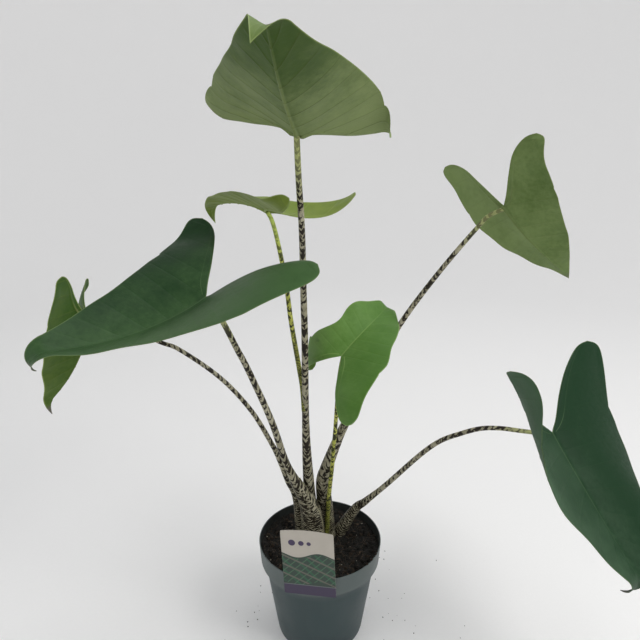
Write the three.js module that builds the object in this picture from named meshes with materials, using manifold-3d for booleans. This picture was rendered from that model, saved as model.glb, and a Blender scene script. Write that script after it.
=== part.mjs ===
// A zebra-stemmed alocasia in its nursery pot, in millimetres, +Z up.
// The origin is the middle of the pot's flat base, and -Y is the side that the plant label hangs on.
import * as THREE from "three";
import { mergeVertices } from "three/addons/utils/BufferGeometryUtils.js";
import Module from "manifold-3d";

// Driving dimensions
const POT_HEIGHT = 150;
const RIM_RADIUS = 85;
const BASE_RADIUS = 60.5;
const LIP_HEIGHT = 30;
const SOIL_TOP = 137;
const FIT_GAP = 0.3;
const BLADE_THICKNESS = 1.0;
const BURIED_LENGTH = 30;

// Pot details
const POT_SIDES = 48;
const POT_WALL = 1.4;
const LIP_STEP = 5.5;
const LIP_TAPER = 2;
const LIP_SLOPE = 4;
const LIP_BOTTOM = POT_HEIGHT - LIP_HEIGHT;
const LIP_FOOT_RADIUS = RIM_RADIUS - LIP_TAPER;
const INNER_STEP_TOP = LIP_BOTTOM + 3;
const INNER_STEP_FOOT = LIP_BOTTOM - 6;
const CORNER = 3;
const RIM_EDGE = 1;
const FLOOR_THICKNESS = 2.2;
const DRAIN_HOLES = 8;
const DRAIN_HOLE_SIDES = 12;
const DRAIN_HOLE_RADIUS = 4;
const DRAIN_CIRCLE_RADIUS = 44;

// Soil details
const SOIL_RINGS = 9;
const LUMP_HEIGHT = 2.4;

// Label details
const LABEL = {
  width: 68, height: 97, thickness: 0.7, corner: 2, rise: 2.5, bottom: 126, middle: 4, lean: 2.7, around: -11,
};
const TONGUE = { width: 20, reach: 11, rootDepth: 16, inset: 2 };

// Blade and stem details
const LOBE_ROWS = 7;
const BLADE_ROWS = 13;
const COLUMNS = [0, 0.04, 0.14, 0.34, 0.56, 0.78, 1];
const ROW_EASE = 0.12;
const MIDRIB_DEPTH = 2.2;
const MIDRIB_TAPER = 0.9;
const COSTA_DEPTH = 1.2;
const COSTA_COLUMN = 2;
const RIB_SLOPE = 0.7;
const STEM_SIDES = 10;
const STEM_STEP = 15;
const STEM_SEAT = 1.5;
const BLADE_GAP = 0.5;

// Where a blade's bends begin or end, as shares of its half width, its lobe's reach and its length
const FOLD_END = 0.06;
const TUCK_END = 0.1;
const DROOP_START = 0.15;
const HOOK_START = 0.82;

// How far a waist reaches along the margin, as a share of the blade's length
const WAIST_REACH = 0.18;

// Arrow-shaped blade outline, as fractions of the half width (x) and of the length ahead of, or the lobe
// length behind, the notch where the stem joins (y).
const LOBE_OUTER_EDGE = [[0.8, -1], [0.93, -0.94], [1, -0.78], [1, -0.45], [0.93, -0.05], [0.86, 0.1]];
const LOBE_INNER_EDGE = [[0.8, -1], [0.67, -0.94], [0.5, -0.72], [0.3, -0.42], [0.12, -0.14], [0, 0]];
const BLADE_EDGE = [[0.86, 0.1], [0.7, 0.27], [0.47, 0.52], [0.24, 0.76], [0.09, 0.91], [0, 1]];

// Each leaf has a stem, listed from the soil up as points with a radius at its foot, at the end of its sheath
// and under the blade, and a blade. The sheath narrows from its start to its end, as shares of the stem's
// length. Angles are degrees and widths, lengths and bellies of a half are percent.
// A waist narrows a half most at a percent of the blade's length. fold is at the midrib, curl runs across a
// half, droop along its lobe, nip at the lobe's end and tuck beside the lobe's own rib. A nip starts at a
// percent of the lobe's reach, across a line that can slant. arch runs along the midrib, hook at the tip, and
// twist turns the blade about the midrib.
const LEAVES = {
  a: {
    colour: 0x5a7040,
    stem: [[-8, 20, 135], [-13, 17, 185], [-16, 14, 237], [-18, 11, 283], [-19, 8, 338], [-19, 1, 446],
      [-20, -3, 513], [-21, -8, 587], [-24, -11, 645]],
    radius: { foot: 10.5, sheath: 5.2, top: 3.4 },
    sheathEnd: 0.45,
    length: 262, width: 110, lobe: 61, arch: 6, hook: -88, twist: 2, sway: -4,
    right: { spread: 5, wide: 115, long: 96, belly: -1, waist: 3, at: 53,
      fold: 13, curl: 0, droop: -25, tuck: 2, nip: 47, slant: 42, start: 68 },
    left: { spread: 12, wide: 96, long: 103, belly: 18, waist: 1, at: 27,
      fold: 34, curl: 45, droop: -48, tuck: -3, nip: -81, slant: 23, start: 84 },
    heading: 173, pitch: 23, roll: -19, at: [-25, -12, 693],
  },
  b: {
    colour: 0x6f8c4a,
    stem: [[-21, 5, 345], [-23, 9, 376], [-27, 15, 402], [-37, 29, 460], [-43, 40, 506], [-52, 51, 553],
      [-60, 58, 584]],
    radius: { foot: 3.0, sheath: 3.4, top: 2.7 },
    sheathEnd: 0.3,
    length: 182, width: 66, lobe: 109, arch: -42, hook: -88, twist: -24, sway: 1,
    right: { spread: 14, wide: 107, long: 100, belly: -7, waist: 11, at: 15,
      fold: -10, curl: 20, droop: 56, tuck: -4, nip: 1, slant: -1, start: 60 },
    left: { spread: 11, wide: 95, long: 90, belly: 0, waist: 4, at: 30,
      fold: 36, curl: -7, droop: -11, tuck: -9, nip: 60, slant: 0, start: 74 },
    heading: 44, pitch: 10, roll: -1, at: [-65, 61, 597],
  },
  c: {
    colour: 0x32553c,
    stem: [[-9, 5, 135], [-11, 5, 174], [-18, 3, 208], [-34, 0, 242], [-47, -5, 279], [-63, -13, 342],
      [-88, -25, 417], [-99, -31, 446], [-112, -38, 481], [-124, -44, 508]],
    radius: { foot: 16.6, sheath: 5.6, top: 3.2 },
    sheathStart: 0.12,
    sheathEnd: 0.4,
    length: 214, width: 104, lobe: 112, arch: 40, hook: -147, twist: -20, sway: 15,
    right: { spread: 18, wide: 110, long: 96, belly: 2, waist: -2, at: 16,
      fold: 31, curl: -30, droop: 1, tuck: -22, nip: 54, slant: -12, start: 71 },
    left: { spread: 6, wide: 114, long: 102, belly: -17, waist: 11, at: 53,
      fold: 25, curl: -23, droop: -14, tuck: -20, nip: -19, slant: -6, start: 43 },
    heading: 122, pitch: -27, roll: -4, at: [-129, -52, 520],
  },
  d: {
    colour: 0x4c6a2c,
    stem: [[-27, 17, 135], [-32, 17, 198], [-44, 17, 231], [-55, 17, 263], [-66, 17, 290], [-92, 17, 340],
      [-130, 17, 387], [-180, 18, 426], [-205, 18, 437], [-253, 18, 460], [-278, 18, 470]],
    radius: { foot: 8.5, sheath: 3.9, top: 2.4 },
    sheathEnd: 0.4,
    length: 148, width: 70, lobe: 62, arch: 40, hook: -72, twist: 8, sway: -2,
    right: { spread: 19, wide: 98, long: 87, belly: -3, waist: 2, at: 31,
      fold: 42, curl: -14, droop: -26, tuck: -8, nip: -14, slant: -15, start: 60 },
    left: { spread: 2, wide: 115, long: 104, belly: 25, waist: 9, at: 20,
      fold: 36, curl: -24, droop: -20, tuck: -18, nip: 24, slant: -10, start: 65 },
    heading: 116, pitch: -78, roll: 25, at: [-290, 13, 473],
  },
  e: {
    colour: 0x4a6636,
    stem: [[10, 19, 135], [7, 19, 185], [4, 19, 227], [9, 20, 249], [22, 23, 286], [34, 26, 314],
      [73, 36, 390], [107, 44, 455], [155, 55, 521], [204, 68, 578], [217, 71, 590]],
    radius: { foot: 13, sheath: 5.2, top: 2.7 },
    sheathEnd: 0.52,
    length: 156, width: 80, lobe: 91, arch: 40, hook: -18, twist: -26, sway: 1,
    right: { spread: 12, wide: 106, long: 100, belly: 7, waist: 4, at: 29,
      fold: 23, curl: -32, droop: 14, tuck: -21, nip: 68, slant: -20, start: 58 },
    left: { spread: 11, wide: 106, long: 97, belly: 7, waist: 5, at: 26,
      fold: 18, curl: -34, droop: 19, tuck: -5, nip: -68, slant: -24, start: 57 },
    heading: -95, pitch: -55, roll: -35, at: [233, 71, 602],
  },
  f: {
    colour: 0x2a4a34,
    stem: [[27, 26, 135], [48, 27, 173], [64, 23, 192], [92, 13, 227], [133, -2, 283], [157, -10, 309],
      [180, -19, 325], [203, -27, 337], [225, -35, 342], [248, -43, 343], [270, -51, 344]],
    radius: { foot: 11, sheath: 4.2, top: 2.6 },
    sheathEnd: 0.34,
    length: 212, width: 120, lobe: 105, arch: 2, hook: -127, twist: 7, sway: -4,
    right: { spread: 17, wide: 111, long: 113, belly: 9, waist: 8, at: 57,
      fold: -7, curl: 20, droop: 44, tuck: 20, nip: -132, slant: -47, start: 34 },
    left: { spread: 3, wide: 114, long: 93, belly: 25, waist: -13, at: 36,
      fold: 36, curl: -45, droop: 42, tuck: -28, nip: 0, slant: 0, start: 60 },
    heading: -144, pitch: -46, roll: -22, at: [279, -65, 353],
  },
  g: {
    colour: 0x54803e,
    stem: [[9, 7, 135], [12, 5, 207], [16, 4, 256], [18, 3, 288], [20, 2, 318], [24, 0, 392]],
    radius: { foot: 4.2, sheath: 3.1, top: 2.4 },
    sheathEnd: 0.4,
    length: 131, width: 70, lobe: 80, arch: -55, hook: -77, twist: 35, sway: -7,
    right: { spread: 10, wide: 114, long: 115, belly: 15, waist: 14, at: 35,
      fold: 6, curl: -1, droop: -14, tuck: -3, nip: -50, slant: -24, start: 45 },
    left: { spread: 28, wide: 100, long: 85, belly: 14, waist: 35, at: 26,
      fold: 18, curl: -5, droop: -60, tuck: -36, nip: -82, slant: 11, start: 70 },
    heading: -53, pitch: 41, roll: 2, at: [27, 0, 425],
  },
};

// Where stems press together their sheaths clasp: each stem here gives way to those listed.
const CLASPED_BY = {
  a: ["b"], c: ["a"], d: ["a", "c"], g: ["a", "c"], e: ["a", "c", "d", "g"], f: ["a", "c", "e", "g"],
};

const wasm = await Module();
wasm.setup();
const rad = THREE.MathUtils.degToRad;
const clamp = THREE.MathUtils.clamp;

// Merges shared corners and drops triangles that have closed up to a line.
function closeUp(geometry) {
  const bare = geometry.clone();
  bare.deleteAttribute("normal");
  bare.deleteAttribute("uv");
  const merged = mergeVertices(bare, 1e-3);
  const kept = [];
  for (let i = 0; i < merged.index.count; i += 3) {
    const [a, b, c] = [0, 1, 2].map((k) => merged.index.getX(i + k));
    if (a !== b && b !== c && c !== a) kept.push(a, b, c);
  }
  merged.setIndex(kept);
  return merged;
}

function toSolid(geometry) {
  const closed = closeUp(geometry);
  return new wasm.Manifold(new wasm.Mesh({
    numProp: 3,
    vertProperties: new Float32Array(closed.attributes.position.array),
    triVerts: new Uint32Array(closed.index.array),
  }));
}

// Keeps the main body where a cut leaves a loose scrap.
function mainBody(solid) {
  return solid.decompose().reduce((best, body) => (body.volume() > best.volume() ? body : best));
}

function toGeometry(solid) {
  const mesh = mainBody(solid).getMesh();
  const geometry = new THREE.BufferGeometry();
  geometry.setAttribute("position", new THREE.BufferAttribute(new Float32Array(mesh.vertProperties), 3));
  geometry.setIndex(Array.from(mesh.triVerts));
  return closeUp(geometry);
}

function piece(name, geometry, colour, roughness) {
  const material = new THREE.MeshStandardMaterial({ color: colour, roughness, metalness: 0 });
  geometry.computeVertexNormals();
  const mesh = new THREE.Mesh(geometry, material);
  mesh.name = name;
  return mesh;
}

// Turns a profile of [radius, height] points about the upright axis.
function turned(profile) {
  const points = profile.map(([r, z]) => new THREE.Vector2(r, z));
  return new THREE.LatheGeometry(points, POT_SIDES).rotateX(Math.PI / 2);
}

// Outer radius of the pot's tapered body at a height.
function bodyRadius(z) {
  const top = LIP_FOOT_RADIUS - LIP_STEP;
  return BASE_RADIUS + (top - BASE_RADIUS) * z / LIP_BOTTOM;
}

// The inside of the pot, from the rim down to the floor, moved inwards by a gap.
function innerProfile(gap, top) {
  const inset = POT_WALL + gap;
  const lipRadius = (z) => LIP_FOOT_RADIUS + LIP_TAPER * (z - LIP_BOTTOM) / LIP_HEIGHT - inset;
  const floor = FLOOR_THICKNESS + gap;
  return [
    [lipRadius(top), top],
    [lipRadius(INNER_STEP_TOP), INNER_STEP_TOP],
    [bodyRadius(INNER_STEP_FOOT) - inset, INNER_STEP_FOOT],
    [bodyRadius(2 * CORNER) - inset, 2 * CORNER],
    [bodyRadius(floor) - inset - CORNER, floor],
  ];
}

// A thin moulded pot: a tapered body, a lip band that stands out from it, and drain holes in the floor.
function makePot() {
  const profile = [
    [0, 0],
    [BASE_RADIUS - CORNER, 0],
    [BASE_RADIUS - CORNER / 4, CORNER / 4],
    [bodyRadius(CORNER), CORNER],
    [bodyRadius(LIP_BOTTOM - LIP_SLOPE), LIP_BOTTOM - LIP_SLOPE],
    [LIP_FOOT_RADIUS, LIP_BOTTOM],
    [RIM_RADIUS, POT_HEIGHT - RIM_EDGE],
    [RIM_RADIUS - RIM_EDGE / 2, POT_HEIGHT],
    ...innerProfile(0, POT_HEIGHT),
    [0, FLOOR_THICKNESS],
  ];
  let pot = toSolid(turned(profile));
  for (let i = 0; i < DRAIN_HOLES; i += 1) {
    const angle = 2 * Math.PI * (i + 0.5) / DRAIN_HOLES;
    const hole = new THREE.CylinderGeometry(DRAIN_HOLE_RADIUS, DRAIN_HOLE_RADIUS, 4 * FLOOR_THICKNESS,
      DRAIN_HOLE_SIDES);
    hole.rotateX(Math.PI / 2);
    hole.translate(DRAIN_CIRCLE_RADIUS * Math.cos(angle), DRAIN_CIRCLE_RADIUS * Math.sin(angle), 0);
    pot = pot.subtract(toSolid(hole));
  }
  return piece("pot", toGeometry(pot), 0x3c4f4b, 0.55);
}

// Low crumbs and hollows of the soil's top, from a few waves at odd angles.
function lumps(x, y) {
  const coarse = Math.sin(0.11 * x + 0.05 * y + 1) * Math.sin(0.09 * y - 0.04 * x + 2);
  const fine = Math.sin(0.31 * x - 0.17 * y) * Math.sin(0.27 * y + 0.21 * x + 0.5);
  return LUMP_HEIGHT * (0.6 * coarse + 0.4 * fine);
}

// The peat fills the pot up to a finger's width under the rim, and the stems stand in plain holes in it.
function makeSoil(stemHoles) {
  const edge = innerProfile(FIT_GAP, SOIL_TOP);
  const top = [];
  for (let i = 0; i < SOIL_RINGS; i += 1) top.push([edge[0][0] * i / SOIL_RINGS, SOIL_TOP]);
  const profile = [...top, ...edge, [0, FLOOR_THICKNESS + FIT_GAP]].reverse();
  const geometry = turned(profile);
  const position = geometry.attributes.position;
  for (let i = 0; i < position.count; i += 1) {
    if (position.getZ(i) > SOIL_TOP - 0.01) {
      const x = position.getX(i);
      const y = position.getY(i);
      position.setZ(i, SOIL_TOP + lumps(x, y));
    }
  }
  let soil = toSolid(geometry);
  for (const hole of stemHoles) soil = soil.subtract(hole);
  return piece("soil", toGeometry(soil), 0x2b211c, 0.95);
}

// A stiff plastic card that stands against the rim, a little left of the front. A tongue from its back passes
// over the rim and down inside it.
function makeLabel() {
  const { width, height, thickness, corner, rise, bottom, middle, lean, around } = LABEL;
  const half = width / 2;
  const card = new THREE.Shape();
  card.moveTo(-half + corner, 0);
  card.lineTo(half - corner, 0);
  card.quadraticCurveTo(half, 0, half, corner);
  card.lineTo(half, height - corner);
  card.quadraticCurveTo(half, height, half - corner, height);
  card.quadraticCurveTo(0, height + 2 * rise, -half + corner, height);
  card.quadraticCurveTo(-half, height, -half, height - corner);
  card.lineTo(-half, corner);
  card.quadraticCurveTo(-half, 0, -half + corner, 0);
  const sheet = new THREE.ExtrudeGeometry(card, { depth: thickness, bevelEnabled: false, curveSegments: 4 });
  sheet.rotateX(Math.PI / 2);
  sheet.rotateY(rad(-lean));
  sheet.translate(middle, -RIM_RADIUS - FIT_GAP, bottom);

  const outside = -RIM_RADIUS - FIT_GAP - thickness / 2;
  const inside = -RIM_RADIUS + POT_WALL + TONGUE.inset;
  const over = POT_HEIGHT + FIT_GAP;
  const hook = new THREE.Shape();
  hook.moveTo(outside, over - TONGUE.rootDepth);
  hook.lineTo(outside + thickness / 2, over - TONGUE.rootDepth);
  hook.lineTo(outside + thickness / 2, over);
  hook.lineTo(inside, over);
  hook.lineTo(inside, over - TONGUE.reach);
  hook.lineTo(inside + thickness, over - TONGUE.reach);
  hook.lineTo(inside + thickness, over + thickness);
  hook.lineTo(outside, over + thickness);
  hook.closePath();
  const tongue = new THREE.ExtrudeGeometry(hook, { depth: TONGUE.width, bevelEnabled: false });
  tongue.rotateX(Math.PI / 2);
  tongue.rotateZ(Math.PI / 2);
  tongue.translate(-TONGUE.width / 2, 0, 0);
  const label = toGeometry(toSolid(sheet).add(toSolid(tongue))).rotateZ(rad(around));
  return piece("label", label, 0xb9b2a4, 0.4);
}

// Rolls a sheet up past a line: phi grows from nothing at one place along (dx, dy) to its full angle at
// another.
function bend(p, dx, dy, from, to, degrees) {
  if (degrees === 0) return;
  const radius = (to - from) / rad(degrees);
  const along = p.x * dx + p.y * dy;
  const phi = clamp((along - from) / (to - from), 0, 1) * rad(degrees);
  const past = Math.max(along - to, 0);
  const flat = along < from ? along : from + radius * Math.sin(phi) + past * Math.cos(phi);
  const lift = along < from ? 0 : radius * (1 - Math.cos(phi)) + past * Math.sin(phi);
  const shift = flat - p.z * Math.sin(phi) - along;
  p.x += shift * dx;
  p.y += shift * dy;
  p.z = lift + p.z * Math.cos(phi);
}

// Takes a point of the flat outline (x out from the midrib, y towards the tip) to its place on a leaf's half.
function shapeHalf(leaf, half, sign, x, y) {
  const ahead = clamp(y / leaf.length, 0, 1);
  const along = y < 0 ? y * half.long / 100 : y;
  const fromWaist = (along / leaf.length - half.at / 100) / WAIST_REACH;
  const waist = half.waist / 100 * Math.exp(-(fromWaist ** 2));
  const belly = half.belly / 100 * 4 * ahead * (1 - ahead);
  const p = new THREE.Vector3(x * half.wide / 100 * (1 + belly) * (1 - waist), along, 0);
  const spread = rad(half.spread) * Math.sqrt(clamp(-p.y / leaf.lobe, 0, 1));
  p.applyAxisAngle(new THREE.Vector3(0, 0, 1), spread);

  const width = leaf.width;
  const turn = rad(half.spread);
  const tipX = LOBE_OUTER_EDGE[0][0] * width * half.wide / 100;
  const tipY = leaf.lobe * half.long / 100;
  const costa = new THREE.Vector2(tipX * Math.cos(turn) + tipY * Math.sin(turn),
    tipX * Math.sin(turn) - tipY * Math.cos(turn));
  const reach = costa.length();
  costa.normalize();
  if (p.y <= 0) bend(p, costa.y, -costa.x, 0, TUCK_END * width, half.tuck);
  const across = costa.clone().rotateAround(new THREE.Vector2(), rad(half.slant));
  bend(p, across.x, across.y, half.start / 100 * reach, reach, half.nip);
  bend(p, costa.x, costa.y, DROOP_START * reach, reach, half.droop);
  bend(p, 1, 0, 0, width, half.curl);
  bend(p, 1, 0, 0, FOLD_END * width, half.fold);
  bend(p, 0, 1, HOOK_START * leaf.length, leaf.length, leaf.hook);
  bend(p, 0, 1, 0, leaf.length, leaf.arch);

  p.x = sign * p.x + leaf.sway / 100 * leaf.length * clamp(p.y / leaf.length, 0, 1.3) ** 2;
  p.applyAxisAngle(new THREE.Vector3(0, 1, 0), rad(leaf.twist) * clamp(p.y / leaf.length, -0.6, 1.2));
  return p;
}

function leafPlace(leaf) {
  const turn = new THREE.Euler(rad(leaf.pitch), rad(leaf.roll), rad(leaf.heading), "ZXY");
  return new THREE.Matrix4().makeRotationFromEuler(turn).setPosition(...leaf.at);
}

function spline(points) {
  return new THREE.SplineCurve(points.map(([x, y]) => new THREE.Vector2(x, y)));
}

// Rows of points on one half of a blade, from the end of its lobe to the tip, each from the inner edge or the
// midrib out to the margin.
function halfRows(leaf, half, sign) {
  const outer = spline(LOBE_OUTER_EDGE);
  const inner = spline(LOBE_INNER_EDGE);
  const edge = spline(BLADE_EDGE);
  const rows = [];
  for (let i = 0; i <= LOBE_ROWS; i += 1) {
    rows.push([inner.getPoint(i / LOBE_ROWS), outer.getPoint(i / LOBE_ROWS)]);
  }
  for (let i = 1; i <= BLADE_ROWS; i += 1) {
    const t = i / BLADE_ROWS;
    rows.push([new THREE.Vector2(0, t * (1 - ROW_EASE * (1 - t))), edge.getPoint(t)]);
  }
  return rows.map(([from, to]) => COLUMNS.map((share) => {
    const q = from.clone().lerp(to, share);
    const y = q.y * (q.y < 0 ? leaf.lobe : leaf.length);
    return shapeHalf(leaf, half, sign, q.x * leaf.width, y);
  }));
}

// Depth of the ribs under the blade: the midrib along the middle, and a costa along each lobe.
function ribDepth(row, column) {
  if (row < LOBE_ROWS) {
    const off = Math.abs(column - COSTA_COLUMN);
    return COSTA_DEPTH * (row / LOBE_ROWS) * Math.max(0, 1 - RIB_SLOPE * off);
  }
  const ahead = (row - LOBE_ROWS) / BLADE_ROWS;
  const rise = Math.min(row - LOBE_ROWS, 1);
  return rise * MIDRIB_DEPTH * (1 - MIDRIB_TAPER * ahead) * Math.max(0, 1 - RIB_SLOPE * column);
}

// A blade is one curved sheet, thickened to both sides of its middle surface, with its ribs underneath.
function bladeGeometry(leaf, grow) {
  const points = [];
  const depths = [];
  const faces = [];
  const ids = new Map();
  const idOf = (p, depth) => {
    const key = [p.x, p.y, p.z].map((v) => v.toFixed(3)).join();
    if (!ids.has(key)) {
      ids.set(key, points.length);
      points.push(p);
      depths.push(depth);
    }
    return ids.get(key);
  };
  const place = leafPlace(leaf);
  for (const [half, sign] of [[leaf.right, 1], [leaf.left, -1]]) {
    const rows = halfRows(leaf, half, sign);
    const grid = rows.map((row, i) => row.map((p, j) => idOf(p.applyMatrix4(place), ribDepth(i, j))));
    for (let i = 0; i + 1 < grid.length; i += 1) {
      for (let j = 0; j + 1 < COLUMNS.length; j += 1) {
        const [a, b, c, d] = [grid[i][j], grid[i][j + 1], grid[i + 1][j + 1], grid[i + 1][j]];
        for (const face of [[a, b, c], [a, c, d]]) {
          if (new Set(face).size === 3) faces.push(sign > 0 ? face : face.reverse());
        }
      }
    }
  }
  const normals = points.map(() => new THREE.Vector3());
  for (const [a, b, c] of faces) {
    const normal = points[b].clone().sub(points[a]).cross(points[c].clone().sub(points[a]));
    for (const k of [a, b, c]) normals[k].add(normal);
  }
  const half = BLADE_THICKNESS / 2 + grow;
  const top = points.map((p, k) => p.clone().addScaledVector(normals[k].normalize(), half));
  const under = points.map((p, k) => p.clone().addScaledVector(normals[k], -half - depths[k]));
  return thickened(top, under, faces);
}

// Joins two like sheets of triangles along their open edges into one closed body.
function thickened(top, under, faces) {
  const count = top.length;
  const index = [];
  const open = new Map();
  for (const [a, b, c] of faces) {
    index.push(a, b, c, count + a, count + c, count + b);
    for (const [from, to] of [[a, b], [b, c], [c, a]]) {
      if (!open.delete(`${to},${from}`)) open.set(`${from},${to}`, [from, to]);
    }
  }
  for (const [from, to] of open.values()) {
    index.push(to, from, count + from, to, count + from, count + to);
  }
  const geometry = new THREE.BufferGeometry().setFromPoints([...top, ...under]);
  geometry.setIndex(index);
  return geometry;
}

// Stem radius: above the sheath the stem tapers gently to the blade, and the sheath swells towards the foot,
// down to its start.
function stemRadius(leaf, share) {
  const { foot, sheath, top } = leaf.radius;
  const taper = sheath + (top - sheath) * share;
  const narrowed = THREE.MathUtils.smoothstep(share, leaf.sheathStart ?? 0, leaf.sheathEnd);
  return taper + (foot - sheath) * (1 - narrowed);
}

// A tapered round stem from its buried foot to the underside of its blade.
function stemGeometry(leaf, grow) {
  const points = leaf.stem.map((p) => new THREE.Vector3(...p));
  const down = points[0].clone().sub(points[1]).normalize();
  const buried = leaf === LEAVES.b ? 0 : BURIED_LENGTH;
  points[0].addScaledVector(down, buried + grow);
  points.push(new THREE.Vector3(0, leaf.radius.top + STEM_SEAT, 0).applyMatrix4(leafPlace(leaf)));
  const curve = new THREE.CatmullRomCurve3(points, false, "catmullrom", 0.5);
  const steps = Math.ceil(curve.getLength() / STEM_STEP);
  const frames = curve.computeFrenetFrames(steps, false);
  const rings = [];
  for (let i = 0; i <= steps; i += 1) {
    const middle = curve.getPointAt(i / steps);
    const radius = stemRadius(leaf, i / steps) + grow;
    for (let k = 0; k < STEM_SIDES; k += 1) {
      const angle = 2 * Math.PI * k / STEM_SIDES;
      rings.push(middle.clone()
        .addScaledVector(frames.normals[i], radius * Math.cos(angle))
        .addScaledVector(frames.binormals[i], radius * Math.sin(angle)));
    }
  }
  const index = [];
  for (let i = 0; i < steps; i += 1) {
    for (let k = 0; k < STEM_SIDES; k += 1) {
      const next = (k + 1) % STEM_SIDES;
      const [a, b] = [i * STEM_SIDES + k, i * STEM_SIDES + next];
      index.push(a, b, b + STEM_SIDES, a, b + STEM_SIDES, a + STEM_SIDES);
    }
  }
  const last = steps * STEM_SIDES;
  for (let k = 1; k + 1 < STEM_SIDES; k += 1) {
    index.push(0, k + 1, k, last, last + k, last + k + 1);
  }
  const geometry = new THREE.BufferGeometry().setFromPoints(rings);
  geometry.setIndex(index);
  return geometry;
}

const plant = new THREE.Group();
const stemHoles = Object.fromEntries(
  Object.entries(LEAVES).map(([key, leaf]) => [key, toSolid(stemGeometry(leaf, FIT_GAP))]));

for (const [key, leaf] of Object.entries(LEAVES)) {
  let stem = toSolid(stemGeometry(leaf, 0)).subtract(toSolid(bladeGeometry(leaf, BLADE_GAP)));
  for (const other of CLASPED_BY[key] ?? []) stem = stem.subtract(stemHoles[other]);
  plant.add(piece(`stem_${key}`, toGeometry(stem), 0x5c5340, 0.6));
  plant.add(piece(`leaf_${key}`, closeUp(bladeGeometry(leaf, 0)), leaf.colour, 0.45));
}
plant.add(makePot());
plant.add(makeSoil(Object.values(stemHoles)));
plant.add(makeLabel());

export default plant;
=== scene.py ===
"""A potted zebrina alocasia: arrow-shaped leaves on banded stems, in peat in a lipped nursery pot."""
import math

import bmesh
import bpy
import numpy as np
from mathutils import Matrix, Vector, noise


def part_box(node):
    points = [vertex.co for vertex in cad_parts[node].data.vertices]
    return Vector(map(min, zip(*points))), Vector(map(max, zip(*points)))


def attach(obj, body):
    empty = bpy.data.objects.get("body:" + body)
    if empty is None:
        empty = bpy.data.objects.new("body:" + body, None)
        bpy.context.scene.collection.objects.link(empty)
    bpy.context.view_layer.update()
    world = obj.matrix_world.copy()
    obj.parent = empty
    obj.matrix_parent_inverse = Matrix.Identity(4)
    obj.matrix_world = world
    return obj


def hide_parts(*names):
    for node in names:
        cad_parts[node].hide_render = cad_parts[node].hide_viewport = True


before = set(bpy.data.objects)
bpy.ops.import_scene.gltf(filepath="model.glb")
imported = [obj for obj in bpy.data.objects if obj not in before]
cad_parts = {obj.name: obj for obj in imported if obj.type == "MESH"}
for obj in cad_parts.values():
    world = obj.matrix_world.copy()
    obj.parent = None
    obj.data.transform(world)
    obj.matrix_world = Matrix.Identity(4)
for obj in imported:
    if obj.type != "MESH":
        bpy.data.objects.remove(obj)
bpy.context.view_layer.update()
MM = 0.001

# Camera: held at the height of the leaves, a step away from the plant, and tilted down to take in the pot.
camera_data = bpy.data.cameras.new("camera")
camera_data.sensor_width = 36
camera_data.lens = 36
camera = bpy.data.objects.new("camera", camera_data)
camera.location = (0, -0.742, 0.742)
camera.rotation_euler = (math.radians(90 - 19.9), 0, 0)
bpy.context.scene.collection.objects.link(camera)
bpy.context.scene.camera = camera
bpy.context.scene.view_settings.view_transform = "Standard"

# Stage: a pale seamless sweep of paper that rises all round the plant, so that no view shows its edge.
# Soft light comes from three panels and from the room.
SWEEP_FLOOR = 1.7
SWEEP_CURVE = 1.2
SWEEP_TOP = 3.4
SWEEP_STEPS = 12


def new_finish(name):
    """A material, its node tree and its principled shader."""
    finish = bpy.data.materials.new(name)
    finish.use_nodes = True
    return finish, finish.node_tree, finish.node_tree.nodes["Principled BSDF"]


def put(tree, kind, inputs=None, **settings):
    """Adds a shader node. Each input is a number, a colour or another node's output."""
    made = tree.nodes.new("ShaderNode" + kind)
    for key, value in settings.items():
        setattr(made, key, value)
    for key, value in (inputs or {}).items():
        if isinstance(value, bpy.types.NodeSocket):
            tree.links.new(value, made.inputs[key])
        else:
            made.inputs[key].default_value = value
    return made


def tinted(tree, share, under, over):
    """Lays one colour over another by a share, and gives the output."""
    made = put(tree, "Mix", data_type="RGBA")
    for key, value in ((0, share), (6, under), (7, over)):
        if isinstance(value, bpy.types.NodeSocket):
            tree.links.new(value, made.inputs[key])
        else:
            made.inputs[key].default_value = value if key == 0 else (*value, 1)
    return made.outputs[2]


def ranged(tree, value, low, high, to_low=0.0, to_high=1.0):
    """Runs smoothly from one number to another while the value goes from low to high."""
    inputs = {"Value": value, "From Min": low, "From Max": high, "To Min": to_low, "To Max": to_high}
    return put(tree, "MapRange", inputs, interpolation_type="SMOOTHSTEP").outputs["Result"]


def speckled(tree, place, scale, detail=3.0, roughness=0.6):
    inputs = {"Vector": place, "Scale": scale, "Detail": detail, "Roughness": roughness}
    return put(tree, "TexNoise", inputs).outputs["Fac"]


def maths(tree, operation, *values):
    return put(tree, "Math", dict(enumerate(values)), operation=operation).outputs[0]


def times(tree, first, second):
    return maths(tree, "MULTIPLY", first, second)


def plus(tree, first, second):
    return maths(tree, "ADD", first, second)


def less(tree, first, second):
    return maths(tree, "SUBTRACT", first, second)


def object_place(tree):
    return put(tree, "TexCoord").outputs["Object"]


def marked(tree, name, kind="Vector"):
    """What the points of a piece carry under a name."""
    return put(tree, "Attribute", attribute_name=name).outputs[kind]


def axes_of(tree, vector):
    made = put(tree, "SeparateXYZ", {"Vector": vector})
    return [made.outputs[axis] for axis in "XYZ"]


def finished(tree, shader, colour, roughness, height, depth):
    """Joins a colour, a roughness and a fine relief of a real depth to a shader."""
    bump = put(tree, "Bump", {"Height": height, "Strength": 1.0, "Distance": depth})
    tree.links.new(colour, shader.inputs["Base Color"])
    tree.links.new(roughness, shader.inputs["Roughness"])
    tree.links.new(bump.outputs["Normal"], shader.inputs["Normal"])


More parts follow.
